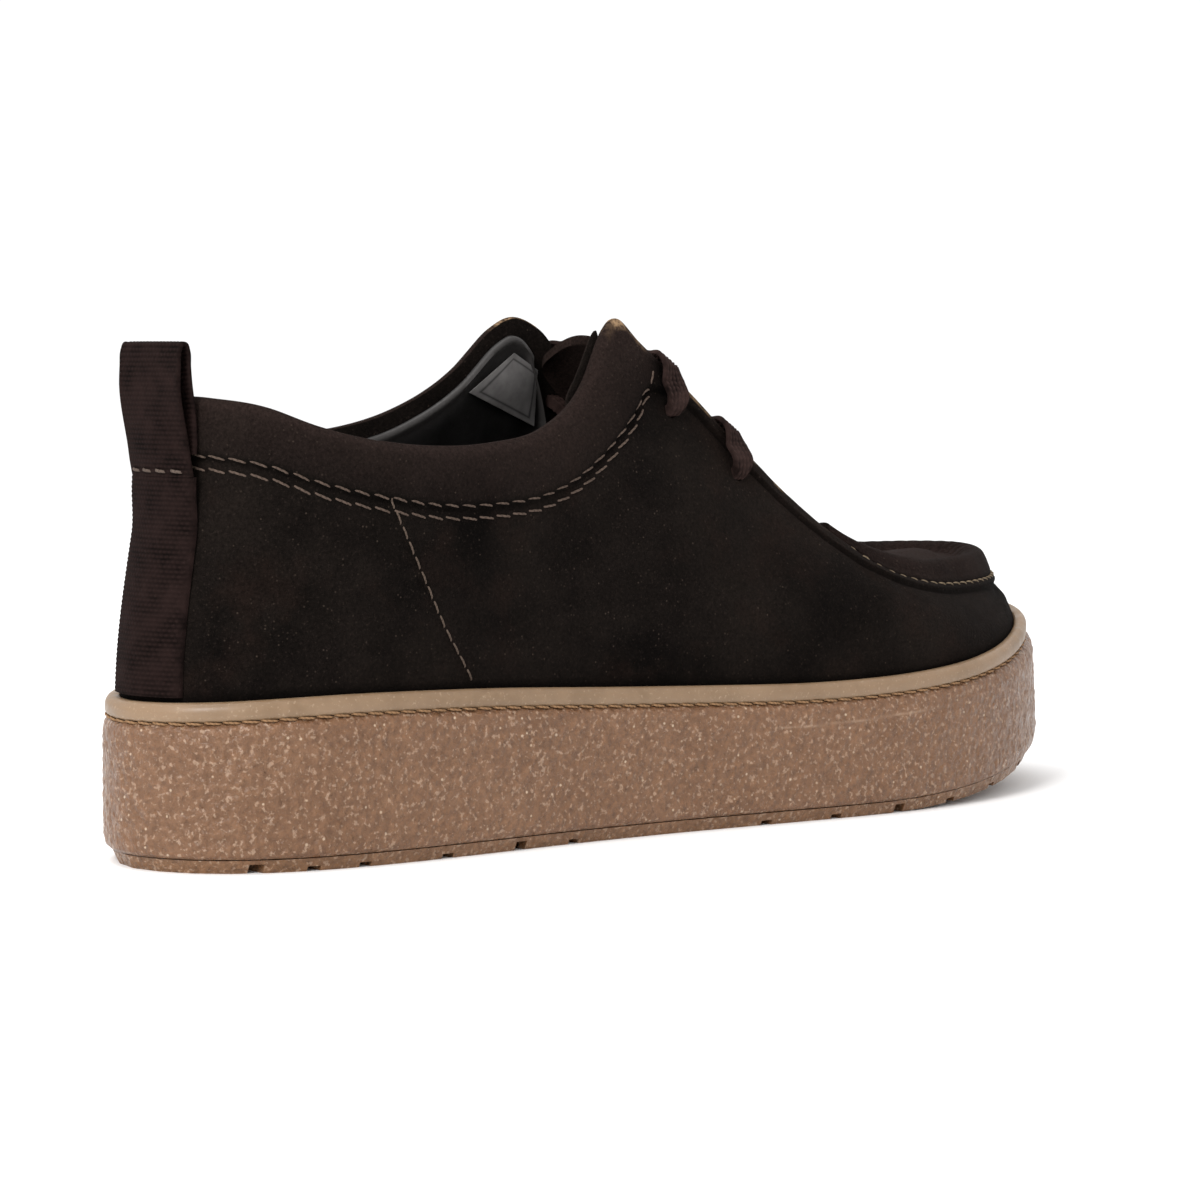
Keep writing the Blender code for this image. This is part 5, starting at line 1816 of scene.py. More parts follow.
    def depth_at(self, turns: Array, rise: Array, wall: tuple[Array, Array]) -> Array:
        """Return the distance below the top edge of one rise a turn.

        Args:
            turns: Places round the shoe.
            rise: Rise at each turn.
            wall: Table of run lengths at the same turns.

        Returns:
            One value a place.
        """
        steps, run = wall
        place = np.clip((1.0 - rise) * (len(steps) - 1), 0.0, len(steps) - 1.000001)
        index = place.astype(int)
        share = place - index
        columns = np.arange(len(turns))
        return run[index, columns] * (1 - share) + run[index + 1, columns] * share

    def inner_rows_of(self, turns: Array, under: Array, step: Array) -> list[Array]:
        """Return the rows of the inner face, from the top edge down to the floor.

        Args:
            turns: Places round the shoe.
            under: Rise at the foot of the pad or lip.
            step: Thickness of the pad or lip.

        Returns:
            Rows of points.
        """
        last = self.last
        pad = np.clip((step / last.ball_width - self.seam_step) / (self.pad_step - self.seam_step), 0.0, 1.0)
        rows = []
        for share in np.linspace(1.0, 0.0, self.inner_rows):
            rise = np.where(share > 0.5, under + (1 - under) * (share - 0.5) * 2, under * share * 2)
            top = np.clip((share - 0.5) * 2, 0.0, 1.0)
            arch = math.sin(math.pi * min(1.0, 0.15 + 0.85 * top)) if top > 0 else 0.0
            swell = self.collar_pad * pad * arch
            wall = last.upper_wall * (0.75 + 0.25 * min(1.0, (1 - share) * 6))
            rows.append(last.skin(turns, rise) - last.normal(turns, rise) * np.reshape(wall + swell, (-1, 1)))
        foot, outward = last.wall_base(turns)
        floor = foot - outward * last.upper_wall
        floor[:, 2] = last.cup_floor(foot[:, 1]) + last.clearance
        rows.append(floor)
        return rows

    def roll_over(self, turns: Array, outer: Array, inner: Array) -> list[Array]:
        """Return rows that roll over the top edge from the outer face to the inner one.

        Args:
            turns: Places round the shoe.
            outer: Top row of the outer face.
            inner: Top row of the inner face.

        Returns:
            Rows of points.
        """
        up = unit(self.last.skin(turns, 1.0) - self.last.skin(turns, 0.97))
        middle = (outer + inner) / 2
        radius = np.linalg.norm(outer - inner, axis=1)[:, None] / 2
        side = unit(outer - inner)
        rows = []
        for angle in np.linspace(0.0, math.pi, self.roll_rows + 2)[1:-1]:
            rows.append(middle + radius * (math.cos(angle) * side + 0.38 * math.sin(angle) * up))
        return rows

    def raw_edge(self, turns: Array) -> Array:
        """Return where the tan core of the leather shows along the cut top edge.

        Args:
            turns: Places round the shoe.

        Returns:
            Share of tan at each place.
        """
        edge = self.last.top_edge(turns)
        side_turn = np.where(turns > 1.0, 2.0 - turns, turns)
        tip = window(side_turn, *self.tip_raw)
        facing = window(side_turn, *self.facing_raw)
        spots = smooth(ripple(edge, 0.0045, 9.0, 3), 0.12, 0.34)
        patchy = smooth(ripple(edge, 0.0022, 13.0, 2), -0.25, 0.15)
        return np.clip(tip * (0.20 + 0.80 * patchy) + 0.45 * facing * spots, 0.0, 1.0)

    def punch_holes(self, item: bpy.types.Object) -> None:
        """Cut the lace holes through the shell.

        Args:
            item: The shell.
        """
        last = self.last
        shape = Shape()
        for turn in (*HOLE_TURNS, *(2.0 - turn for turn in HOLE_TURNS)):
            place = np.array([turn])
            rise = last.rise_below(place, HOLE_DEPTH)
            centre, normal = last.skin(place, rise)[0], last.normal(place, rise)[0]
            side = unit(np.cross(normal, (0.0, 0.0, 1.0)))
            other = np.cross(normal, side)
            angles = np.arange(20) * 2 * math.pi / 20
            circle = self.hole_radius * (np.cos(angles)[:, None] * side + np.sin(angles)[:, None] * other)
            reach = self.punch_reach * normal
            ends = np.stack((centre + circle - reach, centre + circle + reach))
            index = shape.add_grid(ends, wrap_columns=True)
            shape.cap(index[0][::-1])
            shape.cap(index[1])
        mesh = bpy.data.meshes.new("hole_punches")
        mesh.from_pydata(np.vstack(shape.points).tolist(), [], shape.faces)
        turn_faces_out(mesh)
        punches = bpy.data.objects.new("hole_punches", mesh)
        bpy.context.scene.collection.objects.link(punches)
        cutter = item.modifiers.new("holes", "BOOLEAN")
        cutter.operation = "DIFFERENCE"
        cutter.solver = "EXACT"
        cutter.object = punches
        graph = bpy.context.evaluated_depsgraph_get()
        cut_mesh = bpy.data.meshes.new_from_object(item.evaluated_get(graph))
        item.modifiers.remove(cutter)
        item.data = cut_mesh
        bpy.data.objects.remove(punches, do_unlink=True)

    def row_line(self, turns: Array, depth: Array | float) -> tuple[Array, Array]:
        """Return a seam line at a depth below the top edge, on the finished face.

        Args:
            turns: Places round the shoe.
            depth: Depth of the seam, one for all places or one each.

        Returns:
            The points and the outward normals.
        """
        depth = np.broadcast_to(np.asarray(depth, float), turns.shape)
        rise = self.last.rise_below(turns, depth)
        return self.face(turns, depth, rise)

    def build_collar_stitches(self) -> None:
        """Sew the two rows under the collar pad, up to the lace holes on both sides."""
        finish = Thread("collar_thread", (0.098, 0.069, 0.054), 0.38)
        stitching = Stitching(finish, pitch=0.0050, length=0.0049, radius=0.00030, proud=0.00020,
                              dip=0.00032, slant=0.00036)
        shape = Shape()
        last = self.last
        start, end = self.sewn_turns
        along = np.linspace(start, end, 300)
        side_band = last.ball_width * last.section("band", along)
        upper = side_band + self.upper_row
        upper_end = smooth(along, 0.4735, end)
        upper = upper + (self.row_end - upper) * upper_end
        lower = side_band + self.lower_row - 0.0014 * smooth(along, 0.455, 0.474)
        for side in Side:
            stitching.add_row(shape, *self.row_line(np.asarray(side.turn(along)), upper))
            keep = along < self.lower_row_end
            ends = along[keep] + 0.0018 * upper_end[keep]
            stitching.add_row(shape, *self.row_line(np.asarray(side.turn(ends)), lower[keep]))
        shape.make("collar_stitches", finish, Slot.UPPER)

    def build_panel_stitches(self) -> None:
        """Sew the single slanted row of the panel seam on both sides."""
        finish = Thread("panel_thread", (0.090, 0.065, 0.050), 0.42)
        stitching = Stitching(finish, pitch=0.0038, length=0.0036, radius=0.00028, proud=0.00018,
                              dip=0.00032, slant=0.00012)
        shape = Shape()
        for side in Side:
            turn, rise = self.panel_line(side)
            keep = rise > 0.02
            depth = self.depth_at(turn, rise, self.wall_lengths(turn))
            points, normals = self.face(turn, depth, rise)
            stitching.add_row(shape, points[keep], normals[keep])
        shape.make("panel_stitches", finish, Slot.UPPER)


@dataclass
class Apron:
    """The moccasin plug: a dished middle, a raised gathered rim and the cream stitches of its seam."""

    last: Last
    stations: int = 561
    start: float = 0.64
    thickness: float = 0.0022
    ridge_height: float = 0.0039
    edge: float = 0.0011
    seam_gap: float = 0.0006
    # Rows that hang over the seam: depth below the edge, and lift of the top and the under face.
    overhang: tuple[Place, ...] = (
        (0.0027, 0.00030, 0.00015), (0.0022, 0.00110, 0.00018), (0.0012, 0.00160, 0.00018))
    # Rows of the rim: inset over the ball width, and rise over the ridge's height. The ridge's rows
    # also say how far the under face lies further in, over the plug's thickness.
    foot_rows: tuple[tuple[float, float], ...] = ((-0.0150, 0.12), (-0.0095, 0.48))
    ridge_rows: tuple[Place, ...] = (
        (0.002, 0.76, 0.30), (0.022, 1.00, 0.0), (0.050, 0.80, 0.0), (0.070, 0.36, 0.0),
        (0.090, 0.24, 0.0), (0.116, 0.30, 0.0))
    rim_rows: int = 36
    middle_columns: int = 40
    gather_pitch: float = 0.0044
    gather_depth: float = 0.00042
    gather_wander: float = 0.0013
    furrow_span: Window = (0.56, 0.68, 0.78, 0.94)
    edge_furrow_span: Window = (0.02, 0.12, 0.18, 0.34)
    furrow_shade_span: Window = (0.54, 0.68, 0.78, 0.96)
    rim_wave: float = 0.00045
    # Each wave: height, size and seed.
    middle_waves: tuple[Place, ...] = ((0.00045, 0.028, 21.0), (0.00012, 0.008, 23.0))
    stitch_margin: float = 0.016

    def build(self) -> None:
        """Build the plug and its stitches."""
        self.build_plug()
        self.build_stitches()

    def inward(self, turns: Array) -> Array:
        """Return directions in plan from the toe seam towards the middle of the plug.

        Args:
            turns: Places round the shoe.

        Returns:
            One level direction a place.
        """
        step = self.last.turn_step
        edge = self.last.top_edge(turns)
        along = self.last.top_edge(turns + step) - self.last.top_edge(turns - step)
        ways = unit(np.column_stack((along[:, 1], -along[:, 0], np.zeros(len(along)))))
        wrong = np.sum((edge.mean(axis=0) - edge) * ways, axis=1) < 0
        ways[wrong] *= -1
        return ways

    def gathers(self, turns: Array) -> Array:
        """Return the pucker pattern along the seam, 1 in a furrow and 0 on a pleat.

        Args:
            turns: Places round the shoe.

        Returns:
            One value a place.
        """
        edge = self.last.top_edge(turns)
        run = run_lengths(edge)
        none = np.zeros_like(run)
        wander = ripple(np.column_stack((run, none, none)), 0.011, 6.0, 2)
        phase = (run + self.gather_wander * wander) / self.gather_pitch
        depth = 0.72 + 0.5 * ripple(np.column_stack((run, run, none)), 0.014, 8.0, 1)
        around_toe = smooth(np.abs(turns - 1.0), 0.36, 0.27)
        furrow = (0.5 - 0.5 * np.cos(2 * math.pi * phase)) ** 1.5
        return np.clip(depth, 0.3, 1.2) * furrow * (0.25 + 0.75 * around_toe)

    def rim_rings(self, turns: Array, lower: float) -> list[Array]:
        """Return the rows of the rim, from its edge on the seam inwards.

        Args:
            turns: Places along the seam.
            lower: 0 for the top face, or the plug's thickness for its under face.

        Returns:
            One row of points a place of the profile.
        """
        last = self.last
        edge = last.top_edge(turns)
        inward = self.inward(turns)
        ridge = last.bridge("ridge", turns)
        knots = self.rim_knots(turns, edge, inward, ridge, lower)
        places = np.linspace(0.0, 1.0, len(knots))
        level = np.linspace(0.0, 1.0, self.rim_rows)
        flat = hermite(places, knots.reshape(len(knots), -1), level)
        rows = list(flat.reshape(self.rim_rows, len(turns), 3))
        if lower == 0.0:
            pucker = self.gathers(turns)
            lumps = ripple(edge, 0.016, 12.0, 2)
            for row, place in zip(rows, level):
                on = window(place, *self.furrow_span)
                low = window(place, *self.edge_furrow_span)
                row[:, 2] -= self.gather_depth * pucker * (on + 0.22 * low) * ridge
                wave = self.rim_wave * lumps * smooth(place, 0.05, 0.30) * (1 - place) * ridge
                row += inward * wave[:, None]
        return rows

    def rim_knots(self, turns: Array, edge: Array, inward: Array, ridge: Array, lower: float) -> Array:
        """Return the few rows that the rim runs through, from under its overhang inwards.

        Args:
            turns: Places along the seam.
            edge: The upper's top edge there.
            inward: Directions in plan towards the middle.
            ridge: Share of the full ridge there.
            lower: 0 for the top face, or the plug's thickness for its under face.

        Returns:
            Rows of points.
        """
        last = self.last
        hang = smooth(ridge, 0.30, 0.85)
        share = (0.30 + 0.70 * hang)[:, None]
        knots = []
        for depth, lift, under_lift in self.overhang:
            rise = last.rise_below(turns, depth * hang + 0.00005)
            off = under_lift if lower else lift
            knots.append(last.skin(turns, rise) + last.normal(turns, rise) * off * share)
        base = self.seam_gap + self.edge
        for inset, rise in self.foot_rows:
            if lower:
                ring = edge + inward * (0.0004 + 0.0012 * rise)
                ring[:, 2] += 0.0005 + 0.0006 * rise * ridge
            else:
                ring = edge + inward * (last.ball_width * inset * share)
                ring[:, 2] += 0.45 * base + self.ridge_height * rise * ridge
            knots.append(ring)
        for inset, rise, under in self.ridge_rows:
            ring = edge + inward * (last.ball_width * inset + lower * under)
            ring[:, 2] += base + self.ridge_height * rise * ridge - lower
            knots.append(ring)
        return np.stack(knots)

    def middle_grid(self, rim: Array, turns: Array, lower: float) -> Array:
        """Return the dished middle, as rows across from the lateral side to the medial one.

        Args:
            rim: Innermost row of the rim.
            turns: Places along the seam.
            lower: 0 for the top face, or the plug's thickness for its under face.

        Returns:
            The inner points of each row, without the rim's own.
        """
        last = self.last
        count = len(turns)
        half = count // 2
        edge = last.top_edge(turns)
        crown = last.ball_width * last.bridge("crown", turns) + self.thickness + last.clearance - lower
        rows = np.arange(half)
        one, two = rim[rows], rim[count - 1 - rows]
        share = np.linspace(0.0, 1.0, self.middle_columns + 2)[1:-1]
        grid = one[:, None, :] * (1 - share)[None, :, None] + two[:, None, :] * share[None, :, None]
        middle = (edge[rows, 2] + edge[count - 1 - rows, 2]) / 2 + crown[rows]
        weight = (4 * share * (1 - share))[None, :]
        fade = np.minimum(1.0, (half - rows) / (0.25 * half))[:, None]
        grid[:, :, 2] += (middle[:, None] - grid[:, :, 2]) * weight * fade
        if lower == 0.0:
            flat = grid.reshape(-1, 3)
            soft = sum(height * ripple(flat, size, seed) for height, size, seed in self.middle_waves)
            inside = np.minimum(1.0, 6 * share * (1 - share) * 2)[None, :]
            grid[:, :, 2] += soft.reshape(grid.shape[:2]) * inside
        return grid

    def build_plug(self) -> None:
        """Build the plug as one closed skin."""
        turns = np.linspace(self.start, 2.0 - self.start, self.stations)
        shape = Shape()
        layers = []
        pucker = self.gathers(turns)
        for lower in (0.0, self.thickness):
            rim = np.stack(self.rim_rings(turns, lower))
            level = np.linspace(0.0, 1.0, self.rim_rows)
            # The deep mark is painted shade: in the furrows between the gathers and along the rim's first
            # rows at the seam, under the overhang.
            on = window(level, *self.furrow_shade_span)
            first = 0.60 * (1.0 - smooth(level, 0.03, 0.22))
            deep = (0.22 * on[:, None] * pucker[None, :] ** 2 + first[:, None]) * (lower == 0.0)
            # The nap mark lightens the rim's slope and more its ridge and the dished middle, less in the
            # furrows: partly brushed nap, partly painted light on the raised faces and painted shade in the
            # furrows.
            nap = 0.16 * smooth(level, 0.1, 0.4)[:, None] * (1 - 0.4 * pucker[None, :]) * (lower == 0.0)
            nap = nap + 0.54 * smooth(level, 0.66, 0.86)[:, None] * (lower == 0.0)
            index = shape.add_grid(rim, deep=deep, nap=nap)
            middle = self.middle_grid(rim[-1], turns, lower)
            inner = shape.add_grid(middle, nap=np.full(middle.shape[:2], 0.70))
            rows = np.arange(len(middle))
            left = index[-1][rows]
            right = index[-1][len(turns) - 1 - rows]
            shape.join(left, inner[:, 0])
            shape.join(inner[:, -1], right)
            tip = index[-1][len(turns) // 2]
            last_row = [left[-1], *inner[-1], right[-1]]
            for i in range(len(last_row) - 1):
                shape.cap((tip, last_row[i], last_row[i + 1]))
            rear = [*index[:, 0], *inner[0], *index[::-1, -1]]
            layers.append((index[0], np.array(rear)))
        shape.join(layers[0][0], layers[1][0])
        shape.join(layers[0][1], layers[1][1])
        finish = Suede("apron_suede", (0.0048, 0.0030, 0.0025), (0.0125, 0.0078, 0.0066))
        shape.make("gathered_apron", finish, Slot.APRON, ("apron",))

    def build_stitches(self) -> None:
        """Sew the cream stitches that pull the gathers, one in each furrow of the seam."""
        last = self.last
        finish = Thread("seam_thread", (0.190, 0.143, 0.094), 0.42)
        stitching = Stitching(finish, pitch=self.gather_pitch, length=0.0027, radius=0.00026, proud=0.00022,
                              dip=0.00050, slant=0.00055, plies=3.0, rings=11)
        first = self.start + self.stitch_margin
        turns = np.linspace(first, 2.0 - self.start - self.stitch_margin, 900)
        ridge = last.bridge("ridge", turns)
        hang = smooth(ridge, 0.30, 0.85)
        rise = last.rise_below(turns, 0.0029 * hang + 0.0003)
        normals = last.normal(turns, rise)
        line = last.skin(turns, rise) + normals * (0.00055 + 0.00045 * hang)[:, None]
        shape = Shape()
        stitching.add_row(shape, line, normals)
        shape.make("seam_stitches", finish, Slot.APRON)


@dataclass
class Tongue:
    """The tongue between the facings, from under the plug up to the flap tips."""

    last: Last
    rows: int = 130
    columns: int = 40
    top: float = 0.466
    front: float = 0.70
    thickness: float = 0.0022
    side_drop: float = 0.0055
    side_gap: float = 0.0010
    hidden_narrowing: float = 0.35
    narrow_start: float = 0.645
    narrow_span: float = 0.05
    corner_size: float = 0.0085
    corner_cut: float = 0.34
    corner_power: float = 2.2
    wave_relief: float = 0.00025
    wave_size: float = 0.018

    def build(self) -> None:
        """Build the tongue as one closed skin with a rounded top corner."""
        last = self.last
        turns = np.linspace(self.front, self.top, self.rows)
        lateral, medial = last.top_edge(turns), last.top_edge(2.0 - turns)
        crown = last.ball_width * last.bridge("crown", turns)
        narrow = np.clip((turns - self.narrow_start) / self.narrow_span, 0.0, 1.0)
        half = ((medial[:, 0] - lateral[:, 0]) / 2 - self.side_gap) * (1.0 - self.hidden_narrowing * narrow)
        middle = (lateral + medial) / 2
        run = run_lengths(middle)
        left = run[-1] - run
        tuck = np.clip(1 - left / self.corner_size, 0.0, 1.0)
        half = half * (1.0 - self.corner_cut * tuck ** self.corner_power)
        across = np.linspace(-1.0, 1.0, self.columns)
        grid = np.empty((self.rows, self.columns, 3))
        grid[:, :, 0] = middle[:, None, 0] + half[:, None] * across[None, :]
        grid[:, :, 1] = middle[:, None, 1]
        grid[:, :, 2] = (middle[:, None, 2] + crown[:, None] * (1 - across[None, :] ** 2)
                         - self.side_drop * across[None, :] ** 2)
        flat = grid.reshape(-1, 3)
        grid[:, :, 2] += self.wave_relief * ripple(flat, self.wave_size, 31.0).reshape(grid.shape[:2])
        shape = Shape()
        edge_shade = 0.35 * smooth(np.abs(across), 0.72, 1.0)
        upper = shape.add_grid(grid, deep=np.tile(edge_shade, (self.rows, 1)))
        low = grid.copy()
        low[:, :, 2] -= self.thickness
        under = shape.add_grid(low)
        shape.close(upper, under)
        # The tongue's suede is a lighter copy of the upper's, which stands in for light on it where it lies
        # in shade: painted light.
        finish = Suede("tongue_suede_painted_light", (0.0090, 0.0058, 0.0048), (0.0240, 0.0155, 0.0132))
        shape.make("suede_tongue", finish, Slot.TONGUE, ("tongue",))


@dataclass
class Ribbon:
    """A flat woven band: its cross-section, and a relief of ribs or braid over its two faces."""

    finish: Finish
    relief: Callable[[Array, Array], Array]
    relief_size: float = 0.00012
    face_columns: int = 22
    edge_columns: int = 5

    def profile(self) -> Array:
        """Return the section as rows of across, deep and face share; across and deep run -0.5 to 0.5.

        Returns:
            The rows, round the section.
        """
        across = np.linspace(-0.46, 0.46, self.face_columns)
        swell = 0.5 - 0.06 * (2 * np.abs(across)) ** 4
        lower = np.column_stack((across, -swell, np.ones_like(across)))
        angles = np.linspace(-math.pi / 2, math.pi / 2, self.edge_columns + 2)[1:-1]
        right = np.column_stack((0.46 + 0.04 * np.cos(angles), 0.44 * np.sin(angles), np.zeros_like(angles)))
        upper = np.column_stack((across[::-1], swell[::-1], np.ones_like(across)))
        left = np.column_stack((-0.46 - 0.04 * np.cos(angles), -0.44 * np.sin(angles), np.zeros_like(angles)))
        return np.vstack((lower, right, upper, left))

    def add(self, shape: Shape, path: Array, across: Array, outward: Array, widths: Array,
            thick: Array) -> None:
        """Add the band along a path.

        Args:
            shape: Shape that takes the band.
            path: Middle of the band.
            across: Direction over its width at each point.
            outward: Direction through its thickness at each point.
            widths: Width at each point.
            thick: Thickness at each point.
        """
        section = self.profile()
        run = run_lengths(path)
        value = self.relief(run[:, None] * np.ones(len(section))[None, :],
                            section[None, :, 0] * widths[:, None])
        raised = section[None, :, 2] * self.relief_size * (value - 1.0)
        deep = section[None, :, 1] * thick[:, None] + np.sign(section[None, :, 1]) * raised
        grid = (path[:, None, :] + across[:, None, :] * (section[None, :, 0] * widths[:, None])[:, :, None]
                + outward[:, None, :] * deep[:, :, None])
        # The rib mark follows the relief, more on the faces than on the edges: painted highlight on the
        # raised yarn.
        index = shape.add_grid(grid, wrap_columns=True, rib=value * (0.55 + 0.45 * section[None, :, 2]))
        shape.cap(index[0][::-1])
        shape.cap(index[-1])


def cross_ribs(run: Array, across: Array) -> Array:
    """Return the ribs of gros-grain webbing, which lie across the band, with a plain selvedge.

    Args:
        run: Distance along the band.
        across: Distance over its width.

    Returns:
        Height of the relief, from 0 to 1.
    """
    rib_pitch, yarn_pitch = 0.00112, 0.00140
    rib = 0.5 + 0.5 * np.cos(2 * math.pi * run / rib_pitch)
    stagger = math.pi * np.floor(run / rib_pitch + 0.5)
    yarn = 0.5 + 0.5 * np.cos(2 * math.pi * across / yarn_pitch + stagger)
    return rib ** 0.8 * (0.35 + 0.65 * yarn)


def herringbone(run: Array, across: Array) -> Array:
    """Return the slanted plaits of a flat braid, which meet in chevrons.

    Args:
        run: Distance along the band.
        across: Distance over its width.

    Returns:
        Height of the relief, from 0 to 1.
    """
    cord_pitch, plait_pitch = 0.00145, 0.00150
    column = across / cord_pitch
    nearest = np.floor(column + 0.5)
    cord = 0.5 + 0.5 * np.cos(2 * math.pi * column)
    lean = np.where(np.mod(nearest, 2) == 0, 1.0, -1.0)
    plait = 0.5 + 0.5 * np.cos(2 * math.pi * (run / plait_pitch + lean * 0.5 * (column - nearest)))
    return cord ** 0.6 * (0.35 + 0.65 * plait)


@dataclass
class HeelWebbing:
    """The ribbed webbing over the back seam and the loop that stands above it."""

    last: Last
    width: float = 0.0250
    thickness: float = 0.0015
    gap: float = 0.0005
    foot_gap: float = 0.0012
    loop_rise: float = 0.0130
    loop_bow: float = 0.0034
    pinch_drop: float = 0.0150
    join_drop: float = 0.0182
    stitch_lift: float = 0.0013
    strap_rows: int = 420
    strap_columns: int = 68
    loop_steps: int = 460
    loop_columns: int = 58
    rib_depth: float = 0.00030
    edge_fall: float = 0.0006
    edge_span: tuple[float, float] = (0.0112, 0.0124)
    heel_round: float = field(init=False, default=0.0)
    finish: Webbing = field(default_factory=Webbing)

    def build(self) -> None:
        """Build the strap, the loop and the stitches that pinch them."""
        ends = self.heel_points(np.array([self.last.back_height - self.join_drop]), np.zeros(1),
                                np.array([0.0, 0.5 * self.width]))[0]
        self.heel_round = float((ends[0, 1] - ends[1, 1]) / (0.5 * self.width) ** 2)
        self.build_strap()
        self.build_loop()

    def bulge(self) -> float:
        """Height of the collar pad at the back."""
        return self.last.ball_width * float(self.last.section("step", np.array([0.0]))[0])

    def heel_points(self, heights: Array, offset: Array, across: Array) -> Array:
        """Return points off the back of the heel.

        Args:
            heights: Height of each row.
            offset: Distance off the wall at each row.
            across: X place of each column.

        Returns:
            A grid of points.
        """
        guess = np.linspace(-0.16, 0.16, 65)
        rises = np.linspace(0.0, 1.0, 61)
        walls = [self.last.skin(np.full(61, turn), rises)[:, 2] for turn in guess]
        grid = np.empty((len(heights), len(across), 3))
        for row, z in enumerate(heights):
            best = np.array([np.interp(z, wall, rises) for wall in walls])
            points = self.last.skin(guess, best)
            order = np.argsort(points[:, 0])
            y = np.interp(across, points[order, 0], points[order, 1])
            grid[row] = np.column_stack((across, y + offset[row], np.full(len(across), z)))
        return grid

    def build_strap(self) -> None:
        """Build the strap as one closed skin with cross ribs."""
        last = self.last
        base = last.wall_base(np.array([0.0]))[0][0, 2] + self.foot_gap
        top = last.back_height - self.join_drop
        heights = np.linspace(base, top, self.strap_rows)
        across = np.linspace(-0.5, 0.5, self.strap_columns) * self.width
        pad_foot = last.back_height - last.ball_width * float(last.section("band", np.array([0.0]))[0])
        lift = self.bulge() * np.clip((heights - pad_foot) / (2 * self.thickness) + 4 / 3, 0.0, 1.0)
        value = cross_ribs(*np.meshgrid(heights, across, indexing="ij"))
        lift = lift + self.join_lift() * smooth(heights, top - 0.014, top)
        edge = smooth(np.abs(across), *self.edge_span)
        top_face = self.heel_points(heights, self.gap + self.thickness + lift, across)
        ribs = self.rib_depth * (value - 1.0) * (1 - edge)[None, :]
        top_face[:, :, 1] += ribs - self.edge_fall * edge[None, :] ** 2
        under_face = self.heel_points(heights, self.gap + lift, across)
        shape = Shape()
        # The rib mark, weaker at the selvedge, paints the raised ribs lighter: painted highlight.
        outer = shape.add_grid(top_face, rib=value * (1 - 0.6 * edge)[None, :])
        inner = shape.add_grid(under_face)
        shape.close(outer, inner)
        shape.make("heel_strap", self.finish, Slot.BACKSTRAP, ("backstrap",))

    def seat(self, z: float, offset: float) -> float:
        """Return the Y place a distance off the back of the heel at a height."""
        return float(self.heel_points(np.array([z]), np.array([offset]), np.array([0.0]))[0, 0, 1])

    def join_lift(self) -> float:
        """Return how far the strap's top stands off, so that it runs on into the loop's outer layer.

        Returns:
            The distance.
        """
        join = self.last.back_height - self.join_drop
        pinch = self.last.back_height - self.pinch_drop
        low_seat = self.seat(pinch, self.bulge() + self.gap + self.thickness / 2)
        return low_seat + 0.75 * self.thickness - self.seat(join, self.gap + self.thickness / 2)

    def wrap(self, x: Array | float, z: Array | float) -> Array:
        """Return how far the loop bends in towards the round heel, more at its sides and at its foot."""
        back = self.last.back_height
        return self.heel_round * np.square(x) * smooth(z, back + 0.004, back - 0.013)

    def loop_path(self) -> Array:
        """Return the loop's path up behind the collar, over, and down again.

        Returns:
            Points of the path.
        """
        last = self.last
        back = last.back_height
        start = back - self.pinch_drop + last.clearance
        bulge = self.bulge()
        seat = self.seat(back - 0.001, bulge + last.clearance + self.thickness / 2)
        low_seat = self.seat(start, bulge + self.gap + self.thickness / 2)
        join = back - self.join_drop
        join_seat = self.seat(join, self.gap + self.thickness / 2) + self.join_lift()
        middle_seat = 0.6 * low_seat + 0.4 * seat
        top = back + self.loop_rise
        foot = start + self.thickness * 0.5
        middle = start + 0.35 * self.pinch_drop
        bow, rise = self.loop_bow, self.loop_rise
        route = np.array((
            (low_seat + 0.10 * bow, foot + 0.0010),
            (middle_seat + 0.12 * bow, middle),
            (seat + 0.15 * bow, back),
            (seat + 0.30 * bow, top - 0.45 * rise),
            (seat + 0.35 * bow, top - 0.17 * rise),
            (seat + 0.53 * bow, top - 0.06 * rise),
            (seat + 0.83 * bow, top - 0.05 * rise),
            (seat + 1.00 * bow, top - 0.14 * rise),
            (seat + 1.12 * bow, top - 0.45 * rise),
            (seat + 1.18 * bow, back),
            (middle_seat + 0.86 * bow, middle),
            (low_seat + self.thickness + 0.00045, foot),
            (join_seat, join + 0.0001),
        ))
        knots = run_lengths(route)
        fine = hermite(knots, route, np.linspace(0.0, knots[-1], self.loop_steps))
        return np.column_stack((np.zeros(len(fine)), fine))

    def build_loop(self) -> None:
        """Build the loop, and the stitches through both of its layers."""
        path = self.loop_path()
        along = unit(np.gradient(path, axis=0))
        side = np.tile((1.0, 0.0, 0.0), (len(path), 1))
        out = np.cross(side, along)
        shape = Shape()
        band = Ribbon(self.finish, cross_ribs, self.rib_depth, self.loop_columns)
        ones = np.ones(len(path))
        band.add(shape, path, side, out, self.width * ones, self.thickness * ones)
        for points in shape.points:
            points[:, 1] -= self.wrap(points[:, 0], points[:, 2])
        shape.make("heel_loop", self.finish, Slot.PULL_LOOP, ("pull_loop",))
        finish = Thread("loop_thread", (0.100, 0.074, 0.060), 0.42)
        stitching = Stitching(finish, pitch=0.0046, length=0.0038, radius=0.00038, proud=0.00030,
                              slant=0.0002)
        sewn = Shape()
        last_leg = path[len(path) // 2:]
        height = self.last.back_height - self.join_drop + self.stitch_lift
        y = float(np.interp(-height, -last_leg[:, 2], last_leg[:, 1])) + self.thickness / 2 + 0.0001
        across = np.linspace(-0.44, 0.44, 60) * self.width
        line = np.column_stack((across, y - self.wrap(across, height), np.full(60, height)))
        stitching.add_row(sewn, line, np.tile((0.0, 1.0, 0.0), (60, 1)))
        sewn.make("loop_stitches", finish, Slot.PULL_LOOP)


